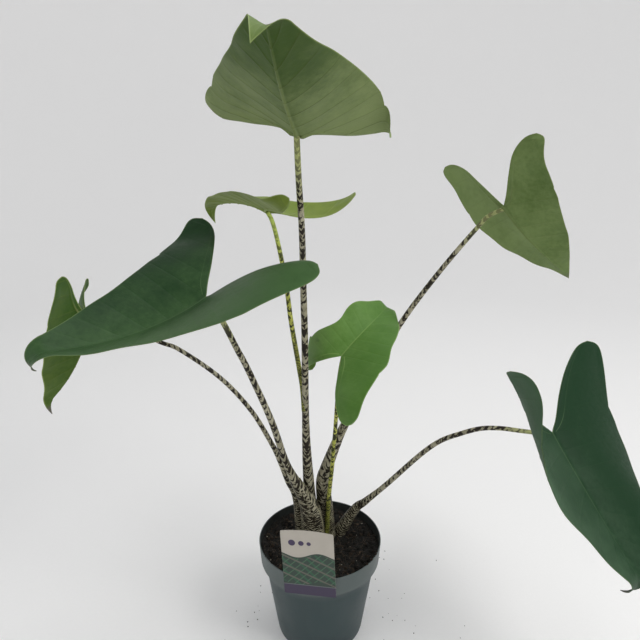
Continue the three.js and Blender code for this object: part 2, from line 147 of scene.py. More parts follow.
def solid_of(name, points, faces, *finishes):
    """A smooth-shaded object from points in metres."""
    data = bpy.data.meshes.new(name)
    data.from_pydata(np.asarray(points).tolist(), [], faces)
    data.update()
    data.shade_smooth()
    for finish in finishes:
        data.materials.append(finish)
    made = bpy.data.objects.new(name, data)
    bpy.context.scene.collection.objects.link(made)
    return made


def turned(name, profile, sides, finish):
    """Turns a profile of (radius, height) about the upright axis, where a radius of 0 closes the form."""
    points, faces, rings = [], [], []
    for radius, z in profile:
        count = sides if radius > 0 else 1
        rings.append(range(len(points), len(points) + count))
        for k in range(count):
            angle = 2 * math.pi * k / sides
            points.append((radius * math.cos(angle), radius * math.sin(angle), z))
    for low, high in zip(rings, rings[1:]):
        for k in range(sides):
            nxt = k + 1
            ring = [low[k % len(low)], low[nxt % len(low)], high[nxt % len(high)], high[k % len(high)]]
            corners = list(dict.fromkeys(ring))
            if len(corners) > 2:
                faces.append(corners)
    return solid_of(name, points, faces, finish)


def arc(middle, radius, start, end, steps):
    """Points of an arc in a profile. Angles are degrees from the outward direction."""
    turns = [math.radians(start + (end - start) * k / steps) for k in range(steps + 1)]
    return [(middle[0] + radius * math.cos(t), middle[1] + radius * math.sin(t)) for t in turns]


def sweep_finish():
    """Matt paper. A little light of its own, more at the back, stands for the brightness of a pale room."""
    finish, tree, shader = new_finish("sweep_paper")
    place = object_place(tree)
    back = axes_of(tree, place)[1]
    glow = ranged(tree, back, -1.4, 1.2, 0.10, 0.13)
    fibres = speckled(tree, place, 240, 4)
    colour = tinted(tree, fibres, (0.755, 0.750, 0.745), (0.800, 0.795, 0.790))
    finished(tree, shader, colour, ranged(tree, fibres, 0.3, 0.7, 0.85, 0.95), fibres, 0.0001)
    shader.inputs["Specular IOR Level"].default_value = 0.1
    shader.inputs["Emission Color"].default_value = (0.97, 0.98, 1, 1)
    tree.links.new(glow, shader.inputs["Emission Strength"])
    return finish


def panel_light(name, place, size, watts, colour):
    data = bpy.data.lights.new(name, "AREA")
    data.size = size
    data.energy = watts
    data.color = colour
    light = bpy.data.objects.new(name, data)
    light.location = place
    light.rotation_euler = (Vector((0, 0, 0.4)) - light.location).to_track_quat("-Z", "Y").to_euler()
    bpy.context.scene.collection.objects.link(light)


sweep_profile = [(0, 0), *arc((SWEEP_FLOOR, SWEEP_CURVE), SWEEP_CURVE, -90, 0, SWEEP_STEPS),
                 (SWEEP_FLOOR + SWEEP_CURVE, SWEEP_TOP)]
turned("sweep", sweep_profile, 96, sweep_finish())

panel_light("window_panel", (1.35, -0.75, 1.75), 1.0, 22, (1, 0.99, 0.97))
panel_light("side_panel", (-1.5, -0.7, 1.1), 1.2, 3.5, (0.95, 0.98, 1))
panel_light("top_panel", (0.5, 0.4, 2.5), 1.6, 14.5, (1, 1, 1))

room = bpy.data.worlds.new("room")
room.use_nodes = True
room.node_tree.nodes["Background"].inputs["Color"].default_value = (0.95, 0.97, 1, 1)
room.node_tree.nodes["Background"].inputs["Strength"].default_value = 0.29
bpy.context.scene.world = room

# Pot: a thin nursery pot, injection-moulded in dark grey-green polypropylene. A taller lip band stands out
# from its tapered body, and its floor has drain holes and a shallow moulded ring.
POT_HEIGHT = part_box("pot")[1].z
RIM_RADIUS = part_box("pot")[1].x
BASE_RADIUS = 60.5 * MM
LIP_BOTTOM = POT_HEIGHT - 30 * MM
LIP_FOOT_RADIUS = RIM_RADIUS - 2 * MM
LIP_STEP = 5.5 * MM
INNER_STEP_TOP = LIP_BOTTOM + 3 * MM
INNER_STEP_FOOT = LIP_BOTTOM - 6 * MM
POT_WALL = 1.4 * MM
POT_FLOOR = 2.2 * MM
POT_CORNER = 3 * MM
POT_SIDES = 168
DRAIN_HOLES = 8
DRAIN_HOLE_RADIUS = 4 * MM
DRAIN_CIRCLE_RADIUS = 44 * MM


def body_radius(z):
    return BASE_RADIUS + (LIP_FOOT_RADIUS - LIP_STEP - BASE_RADIUS) * z / LIP_BOTTOM


def lip_radius(z):
    return LIP_FOOT_RADIUS + (RIM_RADIUS - LIP_FOOT_RADIUS) * (z - LIP_BOTTOM) / (POT_HEIGHT - LIP_BOTTOM)


def pot_profile():
    ring, groove = BASE_RADIUS - 10 * MM, 0.5 * MM
    base = [(0, 0), (ring - 2 * MM, 0), (ring - 1.5 * MM, groove)]
    base += [(ring + 1.5 * MM, groove), (ring + 2 * MM, 0)]
    foot = arc((BASE_RADIUS - POT_CORNER, POT_CORNER), POT_CORNER, -90, -3, 6)
    body = [(body_radius(z), z) for z in np.linspace(2 * POT_CORNER, INNER_STEP_FOOT, 12)]
    step = [(body_radius(LIP_BOTTOM) + 0.8 * MM, LIP_BOTTOM - 4 * MM)]
    step += [(LIP_FOOT_RADIUS - 1.2 * MM, LIP_BOTTOM - 0.9 * MM), (LIP_FOOT_RADIUS - 0.2 * MM, LIP_BOTTOM)]
    lip = [(lip_radius(z), z) for z in np.linspace(LIP_BOTTOM + 1 * MM, POT_HEIGHT - 3 * MM, 6)]
    rim = arc((RIM_RADIUS - POT_WALL / 2, POT_HEIGHT - POT_WALL / 2), POT_WALL / 2, -10, 190, 8)
    inside = [(lip_radius(z) - POT_WALL, z) for z in np.linspace(POT_HEIGHT - 3 * MM, INNER_STEP_TOP, 5)]
    inside += [(body_radius(z) - POT_WALL, z) for z in np.linspace(INNER_STEP_FOOT, 2 * POT_CORNER, 6)]
    inside += [(body_radius(POT_FLOOR) - POT_WALL - POT_CORNER, POT_FLOOR), (0, POT_FLOOR)]
    return base + foot + body + step + lip + rim + inside


def pot_finish():
    finish, tree, shader = new_finish("moulded_plastic")
    place = object_place(tree)
    stretched = put(tree, "Mapping", {"Vector": place, "Scale": (1, 1, 0.12)}).outputs["Vector"]
    clouds = speckled(tree, place, 22, 4)
    streaks = speckled(tree, stretched, 60)
    height = axes_of(tree, place)[2]
    colour = tinted(tree, clouds, (0.014, 0.032, 0.035), (0.025, 0.049, 0.052))
    colour = tinted(tree, times(tree, streaks, 0.7), colour, (0.031, 0.054, 0.056))
    # Painted sheen: the whole lip band is painted paler than the body, for the highlights it catches.
    lip_painted_sheen = ranged(tree, height, LIP_BOTTOM - 1 * MM, LIP_BOTTOM + 2 * MM, 0, 0.7)
    colour = tinted(tree, lip_painted_sheen, colour, (0.110, 0.135, 0.130))
    dusty = ranged(tree, speckled(tree, place, 420, 3, 0.7), 0.60, 0.72)
    high = ranged(tree, height, LIP_BOTTOM, POT_HEIGHT, 0.05, 0.35)
    colour = tinted(tree, times(tree, dusty, high), colour, (0.19, 0.18, 0.15))
    roughness = ranged(tree, clouds, 0.2, 0.8, 0.36, 0.52)
    finished(tree, shader, colour, roughness, speckled(tree, place, 900, 2), 0.00008)
    shader.inputs["Specular IOR Level"].default_value = 0.42
    return finish


def stained_finish():
    """The inside of the wall, dulled by wet peat."""
    finish, tree, shader = new_finish("stained_plastic")
    place = object_place(tree)
    smears = speckled(tree, place, 130, 5, 0.7)
    colour = tinted(tree, ranged(tree, smears, 0.35, 0.65), (0.012, 0.014, 0.013), (0.030, 0.036, 0.034))
    finished(tree, shader, colour, ranged(tree, smears, 0.3, 0.7, 0.5, 0.8), smears, 0.0003)
    return finish


def is_inside(place):
    radius = math.hypot(place.x, place.y)
    wall = lip_radius(place.z) if place.z > LIP_BOTTOM else body_radius(place.z)
    return POT_FLOOR - 0.1 * MM < place.z < POT_HEIGHT - 1.2 * MM and radius < wall - 0.9 * MM


def drilled(piece, holes, depth):
    """Cuts upright round holes, given as (x, y, radius), from one depth under z = 0 to the same over it."""
    cutters = []
    for x, y, radius in holes:
        bar = [(0, -depth), (radius, -depth), (radius, depth), (0, depth)]
        cutter = turned("cutter", bar, 32, piece.data.materials[0])
        cutter.data.transform(Matrix.Translation((x, y, 0)))
        cut = piece.modifiers.new("hole", "BOOLEAN")
        cut.object = cutter
        cut.solver = "EXACT"
        cutters.append(cutter)
    depsgraph = bpy.context.evaluated_depsgraph_get()
    cut_mesh = bpy.data.meshes.new_from_object(piece.evaluated_get(depsgraph))
    piece.modifiers.clear()
    piece.data = cut_mesh
    piece.data.set_sharp_from_angle(angle=math.radians(50))
    for cutter in cutters:
        bpy.data.objects.remove(cutter)


pot = turned("pot_shell", pot_profile(), POT_SIDES, pot_finish())
drain_angles = [2 * math.pi * (k + 0.5) / DRAIN_HOLES for k in range(DRAIN_HOLES)]
drain_holes = [(DRAIN_CIRCLE_RADIUS * math.cos(a), DRAIN_CIRCLE_RADIUS * math.sin(a), DRAIN_HOLE_RADIUS)
               for a in drain_angles]
drilled(pot, drain_holes, 2 * POT_FLOOR)
pot.data.materials.append(stained_finish())
for face in pot.data.polygons:
    face.material_index = 1 if is_inside(face.center) else 0
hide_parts("pot")
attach(pot, "root")

# Soil: damp peat, filled in loose and settled a finger's width under the rim. Clods, bark chips and fibres
# lie on its crumbled top.
SOIL_TOP = 137 * MM
SOIL_GAP = 0.3 * MM
SOIL_SIDES = 200
SOIL_RINGS = 96
LUMP_HEIGHT = 2.4
SOIL_EDGE = lip_radius(SOIL_TOP) - POT_WALL - SOIL_GAP
dice = np.random.default_rng(7)


def soil_height(x, y):
    """Height of the soil's top: slow humps, with clods and crumbs on them."""
    u, v = x / MM, y / MM
    coarse = math.sin(0.11 * u + 0.05 * v + 1) * math.sin(0.09 * v - 0.04 * u + 2)
    fine = math.sin(0.31 * u - 0.17 * v) * math.sin(0.27 * v + 0.21 * u + 0.5)
    at = Vector((u, v, 3.7))
    clods = 1.5 * noise.noise(at / 7) + 0.9 * noise.noise(at / 3) + 0.5 * noise.noise(at / 1.4)
    return SOIL_TOP + (LUMP_HEIGHT * (0.6 * coarse + 0.4 * fine) + clods) * MM


def soil_finish(name, dark, light, scale):
    finish, tree, shader = new_finish(name)
    place = object_place(tree)
    grains = speckled(tree, place, scale, 6, 0.7)
    colour = tinted(tree, ranged(tree, grains, 0.35, 0.70), dark, light)
    damp = ranged(tree, speckled(tree, place, 60), 0.3, 0.7, 0.75, 0.95)
    finished(tree, shader, colour, damp, grains, 0.0008)
    shader.inputs["Specular IOR Level"].default_value = 0.15
    return finish


def soil_profile():
    top = [(SOIL_EDGE * k / SOIL_RINGS, SOIL_TOP) for k in range(SOIL_RINGS + 1)]
    side = [(lip_radius(INNER_STEP_TOP) - POT_WALL - SOIL_GAP, INNER_STEP_TOP)]
    side += [(body_radius(z) - POT_WALL - SOIL_GAP, z) for z in (INNER_STEP_FOOT, 2 * POT_CORNER)]
    floor = POT_FLOOR + SOIL_GAP
    side += [(body_radius(floor) - POT_WALL - SOIL_GAP - POT_CORNER, floor), (0, floor)]
    return list(reversed(top + side))


def scattered(count, sizes, sink):
    """Random places on the soil, each with a size. Most are small."""
    places = []
    for _ in range(count):
        size = (sizes[0] + (sizes[1] - sizes[0]) * dice.random() ** 3) * MM
        far = (SOIL_EDGE - 2 * size) * math.sqrt(dice.random())
        angle = dice.uniform(0, 2 * math.pi)
        x, y = far * math.cos(angle), far * math.sin(angle)
        places.append((x, y, soil_height(x, y) + sink * size, size))
    return places


def shifted(faces, count):
    """The same faces for points that come later in a list."""
    return [[count + corner for corner in face] for face in faces]


def crumb_field(name, places, stretch, *finishes):
    """Many small rough lumps in one piece, each a ball stretched, knocked about and laid in its place."""
    ball = bmesh.new()
    bmesh.ops.create_icosphere(ball, subdivisions=2, radius=1)
    base = np.array([corner.co for corner in ball.verts])
    base_faces = [[corner.index for corner in face.verts] for face in ball.faces]
    ball.free()
    points, faces = [], []
    for number, (x, y, z, size) in enumerate(places):
        seat = Vector((number, 0, 0))
        knocks = np.array([1 + 0.6 * noise.noise(Vector(corner) * 1.7 + seat) for corner in base])
        lump = base * knocks[:, None] * np.array(stretch) * size
        spin = Matrix.Rotation(dice.uniform(0, 6.3), 3, "Z") @ Matrix.Rotation(dice.normal(0, 0.35), 3, "X")
        lump = lump @ np.array(spin).T + np.array((x, y, z))
        faces += shifted(base_faces, len(points))
        points += lump.tolist()
    made = solid_of(name, points, faces, *finishes)
    for number, face in enumerate(made.data.polygons):
        face.material_index = number // len(base_faces) % len(finishes)
    return made


def tube(path, radii, sides):
    """Points and faces of a round rod along a path, closed at both ends."""
    path = np.asarray(path, float)
    ahead = np.gradient(path, axis=0)
    ahead /= np.linalg.norm(ahead, axis=1)[:, None]
    side = np.cross(ahead[0], (0.3, 0.5, 0.8) if abs(ahead[0][2]) < 0.7 else (1, 0, 0))
    points = []
    for middle, way, radius in zip(path, ahead, radii):
        side = side - way * np.dot(side, way)
        side /= np.linalg.norm(side)
        other = np.cross(way, side)
        for k in range(sides):
            angle = 2 * math.pi * k / sides
            points.append(middle + radius * (math.cos(angle) * side + math.sin(angle) * other))
    faces = []
    for low in range(0, len(points) - sides, sides):
        for k in range(sides):
            nxt = (k + 1) % sides
            faces.append([low + k, low + nxt, low + sides + nxt, low + sides + k])
    last = len(points) - sides
    return points, faces + [list(range(sides))[::-1], list(range(last, last + sides))]


def fibre_field(name, count, finish):
    points, faces = [], []
    for _ in range(count):
        length = dice.uniform(6, 26) * MM
        far = (SOIL_EDGE - length / 2) * math.sqrt(dice.random())
        angle, way = dice.uniform(0, 6.3, 2)
        curve = dice.normal(0, 0.35)
        middle = Vector((far * math.cos(angle), far * math.sin(angle)))
        path = []
        for share in np.linspace(-0.5, 0.5, 7):
            heading = way + curve * share * 3
            middle += Vector((math.cos(heading), math.sin(heading))) * length / 7
            lift = 1.2 * MM - 2.5 * MM * (2 * share) ** 2 * dice.uniform(0.2, 1)
            path.append((middle.x, middle.y, soil_height(middle.x, middle.y) + lift))
        thick = dice.uniform(0.15, 0.45) * MM
        rod, sides = tube(path, [thick * (1 - 0.5 * abs(s)) for s in np.linspace(-1, 1, 7)], 5)
        faces += shifted(sides, len(points))
        points += rod
    return solid_of(name, points, faces, finish)


PEAT = soil_finish("peat", (0.0100, 0.0100, 0.0093), (0.0390, 0.0365, 0.0330), 500)
soil = turned("peat", soil_profile(), SOIL_SIDES, PEAT)
for corner in soil.data.vertices:
    if corner.co.z > SOIL_TOP - 0.01 * MM:
        corner.co.z = soil_height(corner.co.x, corner.co.y)
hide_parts("soil")
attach(soil, "root")

PEAT_DARK = soil_finish("peat_clod", (0.0085, 0.0080, 0.0073), (0.0350, 0.0320, 0.0285), 900)
PEAT_BROWN = soil_finish("peat_brown", (0.0190, 0.0138, 0.0100), (0.0640, 0.0490, 0.0370), 700)
CHIP_PALE = soil_finish("bark_chip", (0.045, 0.032, 0.022), (0.150, 0.115, 0.085), 600)
SPECK_PALE = soil_finish("mineral_speck", (0.30, 0.27, 0.22), (0.50, 0.47, 0.41), 900)

clods = crumb_field("peat_clods", scattered(900, (0.9, 4.2), 0.25), (1, 0.85, 0.7), PEAT_DARK, PEAT_DARK,
                    PEAT_BROWN)
chips = crumb_field("bark_chips", scattered(170, (1.0, 3.8), 0.35), (1, 0.45, 0.16), PEAT_BROWN, CHIP_PALE)
specks = crumb_field("mineral_specks", scattered(26, (0.5, 1.2), 0.6), (1, 0.9, 0.8), SPECK_PALE)
fibres = fibre_field("peat_fibres", 260, CHIP_PALE)

# Crumbs of the same peat caught on the rim, at these degrees about the pot and with these sizes in mm.
RIM_CRUMBS = [(-22, 0.9), (-26, 1.9), (-29, 1.0), (-35, 2.1), (-38, 1.1), (-42, 1.7), (-140, 1.3),
              (-151, 0.8)]
RIM_MIDDLE = RIM_RADIUS - 1.2 * MM
rim_places = []
for angle, size in RIM_CRUMBS:
    x, y = RIM_MIDDLE * math.cos(math.radians(angle)), RIM_MIDDLE * math.sin(math.radians(angle))
    rim_places.append((x, y, POT_HEIGHT + 0.4 * size * MM, size * MM))
rim_crumbs = crumb_field("rim_crumbs", rim_places, (1, 0.8, 0.7), PEAT_DARK, PEAT_BROWN)
for piece in (clods, chips, specks, fibres, rim_crumbs):
    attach(piece, "root")

# Dust of peat that fell on the paper when the plant was set down: loose crumbs under a millimetre, most
# of them near the pot. It is no part of the plant, so it is not attached to the plant's body.
DUST_COUNT = 80
DUST_START = 88 * MM
DUST_SPREAD = 30 * MM
dust_places = []
for _ in range(DUST_COUNT):
    size = dice.uniform(0.35, 0.9) * MM
    angle, far = dice.uniform(0, 2 * math.pi), DUST_START + dice.exponential(DUST_SPREAD)
    dust_places.append((far * math.cos(angle), far * math.sin(angle), 0.6 * size, size))
crumb_field("floor_dust", dust_places, (1, 0.9, 0.7), PEAT_BROWN)

# Leaf stalks: fleshy round stalks that rise from the peat, banded like a zebra's legs. Each foot swells into
# a sheath that clasps the younger stalks, and each top passes under its blade at the notch.

# Points, notches and radii (at the foot, at the sheath's end and under the blade) are mm. A sheath starts and
# ends at shares of the stalk's length. turn is the blade's pitch, roll and heading in degrees.
STALKS = {
    "a": {
        "path": [[-8, 20, 135], [-13, 17, 185], [-16, 14, 237], [-18, 11, 283], [-19, 8, 338],
                 [-19, 1, 446], [-20, -3, 513], [-21, -8, 587], [-24, -11, 645]],
        "radius": (10.5, 5.2, 3.4), "sheath": (0, 0.45), "notch": (-25, -12, 693), "turn": (23, -19, 173),
    },
    "b": {
        "path": [[-21, 5, 345], [-23, 9, 376], [-27, 15, 402], [-37, 29, 460], [-43, 40, 506],
                 [-52, 51, 553], [-60, 58, 584]],
        "radius": (3, 3.4, 2.7), "sheath": (0, 0.3), "notch": (-65, 61, 597), "turn": (10, -1, 44),
    },
    "c": {
        "path": [[-9, 5, 135], [-11, 5, 174], [-18, 3, 208], [-34, 0, 242], [-47, -5, 279], [-63, -13, 342],
                 [-88, -25, 417], [-99, -31, 446], [-112, -38, 481], [-124, -44, 508]],
        "radius": (16.6, 5.6, 3.2), "sheath": (0.12, 0.4), "notch": (-129, -52, 520), "turn": (-27, -4, 122),
    },
    "d": {
        "path": [[-27, 17, 135], [-32, 17, 198], [-44, 17, 231], [-55, 17, 263], [-66, 17, 290],
                 [-92, 17, 340], [-130, 17, 387], [-180, 18, 426], [-205, 18, 437], [-253, 18, 460],
                 [-278, 18, 470]],
        "radius": (8.5, 3.9, 2.4), "sheath": (0, 0.4), "notch": (-290, 13, 473), "turn": (-78, 25, 116),
    },
    "e": {
        "path": [[10, 19, 135], [7, 19, 185], [4, 19, 227], [9, 20, 249], [22, 23, 286], [34, 26, 314],
                 [73, 36, 390], [107, 44, 455], [155, 55, 521], [204, 68, 578], [217, 71, 590]],
        "radius": (13, 5.2, 2.7), "sheath": (0, 0.52), "notch": (233, 71, 602), "turn": (-55, -35, -95),
    },
    "f": {
        "path": [[27, 26, 135], [48, 27, 173], [64, 23, 192], [92, 13, 227], [133, -2, 283],
                 [157, -10, 309], [180, -19, 325], [203, -27, 337], [225, -35, 342], [248, -43, 343],
                 [270, -51, 344]],
        "radius": (11, 4.2, 2.6), "sheath": (0, 0.34), "notch": (279, -65, 353), "turn": (-46, -22, -144),
    },
    "g": {
        "path": [[9, 7, 135], [12, 5, 207], [16, 4, 256], [18, 3, 288], [20, 2, 318], [24, 0, 392]],
        "radius": (4.2, 3.1, 2.4), "sheath": (0, 0.4), "notch": (27, 0, 425), "turn": (41, 2, -53),
    },
}
YOUNG = ("b", "g")
FROM_SHEATH = "b"
BURIED = 30
STALK_SEAT = 1.5
STALK_SIDES = 28
STALK_STEP = 2.5
CURVE_STEPS = 24
ROOF_GAP = 0.6
ROOF_REACH = 20
BAND_PERIOD = (4.6, 10)
BAND_REACH = 110
BARK_OFFSET = 500
FLAP_ROOT = [[-33, -4, 244], [-24, -7, 225], [-15, -8, 205], [-9, -10, 180], [-6, -10, 155], [-5, -10, 120]]
FLAP_EDGE = [[-27, 1, 246], [-19, 0, 231], [-9, -2, 212], [1, -3, 190], [5, -4, 165], [5.5, -3, 120]]
FLAP_BULGE = 2.5
FLAP_OFFSET = 10 * BARK_OFFSET
FLAP_FROM_TOP = 400


def between(p0, p1, p2, p3, w):
    """The place on a smooth curve from p1 to p2 at a share w of the way, with a knot before and one after."""
    v0, v1 = (p2 - p0) / 2, (p3 - p1) / 2
    return (2 * p1 - 2 * p2 + v0 + v1) * w ** 3 + (3 * p2 - 3 * p1 - 2 * v0 - v1) * w ** 2 + v0 * w + p1


def through(points, t):
    """Points on a smooth curve through the given ones, with t from 0 to 1 along it."""
    points = np.asarray(points, float)
    last = len(points) - 1
    place = np.clip(t, 0, 1) * last
    k = np.minimum(place.astype(int), last - 1)
    knots = (points[np.clip(k + step, 0, last)] for step in (-1, 0, 1, 2))
    return between(*knots, (place - k)[:, None])


def notch_turn(stalk):
    """The turn of a blade's own frame: x to its right, y to its tip and z out of its upper side."""
    pitch, roll, heading = [math.radians(angle) for angle in stalk["turn"]]
    made = Matrix.Rotation(heading, 3, "Z") @ Matrix.Rotation(pitch, 3, "X") @ Matrix.Rotation(roll, 3, "Y")
    return np.array(made)


def even_path(points, step):
    """Even steps along a smooth curve through points, which runs straight on past its ends."""
    points = np.asarray(points, float)
    knots = np.vstack([2 * points[0] - points[1], points, 2 * points[-1] - points[-2]])
    fine = [between(*knots[k - 1:k + 3], w) for k in range(1, len(knots) - 2)
            for w in np.linspace(0, 1, CURVE_STEPS, endpoint=False)]
    fine = np.array(fine + [knots[-2]])
    far = np.concatenate([[0], np.cumsum(np.linalg.norm(np.diff(fine, axis=0), axis=1))])
    stops = np.linspace(0, far[-1], int(far[-1] / step) + 1)
    return np.stack([np.interp(stops, far, fine[:, axis]) for axis in range(3)], axis=1), stops


def eased(value):
    value = np.clip(value, 0, 1)
    return value * value * (3 - 2 * value)


def set_vectors(data, name, values):
    layer = data.attributes.new(name, "FLOAT_VECTOR", "POINT")
    layer.data.foreach_set("vector", np.asarray(values, np.float32).ravel())


def set_numbers(data, name, values):
    layer = data.attributes.new(name, "FLOAT", "POINT")
    layer.data.foreach_set("value", np.asarray(values, np.float32))


def stalk_solid(key, stalk, finish):
    path = np.array(stalk["path"], float)
    foot, sheath, top = stalk["radius"]
    start, end_share = stalk["sheath"]
    turn, notch = notch_turn(stalk), np.array(stalk["notch"], float)
    if key != FROM_SHEATH:
        down = path[0] - path[1]
        path[0] += BURIED * down / np.linalg.norm(down)
    end = notch + turn @ np.array((0, top + STALK_SEAT, 0))
    middles, far = even_path(np.vstack([path, end]), STALK_STEP)
    share = far / far[-1]
    swollen = 1 - eased((share - start) / (end_share - start))
    radii = sheath + (top - sheath) * share + (foot - sheath) * swollen
    points, faces = tube(middles, radii, STALK_SIDES)
    points = np.array(points)
    local = (points - notch) @ turn
    roof = -ROOF_GAP + np.maximum(0, -local[:, 1])
    near = np.repeat(far[-1] - far, STALK_SIDES) < ROOF_REACH
    local[:, 2] = np.where(near, np.minimum(local[:, 2], roof), local[:, 2])
    points = local @ turn.T + notch
    made = solid_of("stalk_" + key, points * MM, faces, finish)
    angle = np.tile(2 * math.pi * np.arange(STALK_SIDES) / STALK_SIDES, len(far))
    wide, along = np.repeat(radii, STALK_SIDES), np.repeat(far, STALK_SIDES)
    low, high = BAND_PERIOD
    period = low + (high - low) * eased((far - BURIED) / BAND_REACH)
    count = np.repeat(np.concatenate([[0], np.cumsum(np.diff(far) / period[1:])]), STALK_SIDES)
    offset = BARK_OFFSET * (ord(key) - ord("a"))
    set_vectors(made.data, "bark", np.stack([wide * np.cos(angle), wide * np.sin(angle), along + offset], 1))
    set_vectors(made.data, "reach", np.stack([along - BURIED, far[-1] - along, count], 1))
    return made


def stalk_finish(name, ground, mark, top_tone, top_share, size):
    """Pale skin with dark bands that bend, break and join. Near the foot they close up, and thin pale lines
    are left between them."""
    finish, tree, shader = new_finish(name)
    bark = marked(tree, "bark")
    x, y, along = axes_of(tree, bark)
    from_foot, from_top, count = axes_of(tree, marked(tree, "reach"))
    zigzag = less(tree, maths(tree, "ABSOLUTE", x), maths(tree, "ABSOLUTE", y))
    slid = put(tree, "CombineXYZ", {"X": x, "Y": y, "Z": plus(tree, along, times(tree, zigzag, 0.75))})
    coarse = (0.13 / size, 0.13 / size, 0.22 / size)
    squat = put(tree, "Mapping", {"Vector": slid.outputs[0], "Scale": coarse})
    blotch = put(tree, "TexNoise", {"Vector": squat.outputs[0], "Scale": 1, "Detail": 2, "Distortion": 0.7})
    blotch = less(tree, blotch.outputs["Fac"], 0.5)
    slow = speckled(tree, bark, 0.085, 2, 0.5)
    quick = speckled(tree, bark, 0.24 / size, 2, 0.5)
    turns = plus(tree, times(tree, zigzag, 0.30), times(tree, slow, 16))
    bands = maths(tree, "SINE", plus(tree, times(tree, count, 2 * math.pi), turns))
    level = plus(tree, times(tree, bands, 0.65), times(tree, blotch, 8.5))
    winding = plus(tree, times(tree, slow, 9), times(tree, quick, 12))
    winding = plus(tree, winding, plus(tree, times(tree, along, 1.9 / size), times(tree, zigzag, 0.35)))
    maze = plus(tree, plus(tree, maths(tree, "SINE", winding), 0.35), times(tree, blotch, 4))
    low = ranged(tree, from_foot, 100, 40)
    level = plus(tree, level, times(tree, low, less(tree, maze, level)))
    dark = ranged(tree, level, -0.30, 0.15)
    share = times(tree, dark, ranged(tree, from_top, 20, 70, top_share, 1.0))
    tone = tinted(tree, ranged(tree, speckled(tree, bark, 0.08, 4), 0.35, 0.65), ground[0], ground[1])
    tone = tinted(tree, ranged(tree, from_top, 90, 20), tone, top_tone)
    colour = tinted(tree, share, tone, mark)
    margin = marked(tree, "margin", "Fac")
    colour = tinted(tree, ranged(tree, margin, 0.88, 0.96, 0, 0.7), colour, (0.30, 0.28, 0.17))
    grain = speckled(tree, bark, 1.4, 3)
    finished(tree, shader, colour, ranged(tree, grain, 0.3, 0.7, 0.40, 0.56), grain, 0.0001)
    shader.inputs["Specular IOR Level"].default_value = 0.25
    return finish


def sheet_faces(rows, columns):
    """Faces of a thin closed sheet: a grid of points in front, the same behind it, and the edge between."""
    count = rows * columns
    faces = []
    for i in range(rows - 1):
        for j in range(columns - 1):
            a = i * columns + j
            faces.append([a, a + 1, a + columns + 1, a + columns])
            faces.append([count + a, count + a + columns, count + a + columns + 1, count + a + 1])
    ring = list(range(columns)) + [i * columns + columns - 1 for i in range(1, rows)]
    ring += [(rows - 1) * columns + j for j in reversed(range(columns - 1))]
    ring += [i * columns for i in reversed(range(1, rows - 1))]
    for a, b in zip(ring, ring[1:] + ring[:1]):
        faces.append([a, count + a, count + b, b])
    return faces


def flap_solid(name, root, edge, finish):
    """The free wing of a sheath: a sheet between two lines in mm from the top down, thinned to its edge."""
    rows = np.linspace(0, 1, 40)
    shares = np.linspace(0, 1, 14)
    root, edge = through(root, rows), through(edge, rows)
    sheet = root[:, None] * (1 - shares[:, None]) + edge[:, None] * shares[:, None]
    sheet[..., 1] -= FLAP_BULGE * np.sin(math.pi * shares) * eased(4 * rows)[:, None]
    thick = 0.35 + 0.5 * (1 - shares)
    front, back = sheet.copy(), sheet.copy()
    front[..., 1] -= thick
    back[..., 1] += thick
    points = np.concatenate([front.reshape(-1, 3), back.reshape(-1, 3)])
    faces = [[first, *reversed(rest)] for first, *rest in sheet_faces(len(rows), len(shares))]
    made = solid_of(name, points * MM, faces, finish)
    up = points[:, 2] - SOIL_TOP / MM
    set_vectors(made.data, "bark", points * (1, 0.3, 1) + (0, 0, FLAP_OFFSET))
    set_vectors(made.data, "reach", np.stack([up, np.full(len(up), FLAP_FROM_TOP), up / BAND_PERIOD[0]], 1))
    set_numbers(made.data, "margin", np.tile(shares, 2 * len(rows)))
    return made


STALK_GROUND = ((0.245, 0.226, 0.150), (0.370, 0.348, 0.250))
STALK_MARK = (0.014, 0.010, 0.005)
banded = stalk_finish("banded_stalk", STALK_GROUND, STALK_MARK, (0.35, 0.38, 0.15), 0.5, 1.0)
YOUNG_GROUND = ((0.340, 0.360, 0.065), (0.470, 0.490, 0.110))
mottled = stalk_finish("mottled_stalk", YOUNG_GROUND, (0.030, 0.034, 0.008), (0.36, 0.45, 0.09), 0.35, 0.6)

for key, stalk in STALKS.items():
    piece = stalk_solid(key, stalk, mottled if key in YOUNG else banded)
    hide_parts("stem_" + key)
    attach(piece, "root")

flap = flap_solid("sheath_wing", FLAP_ROOT, FLAP_EDGE, banded)
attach(flap, "root")
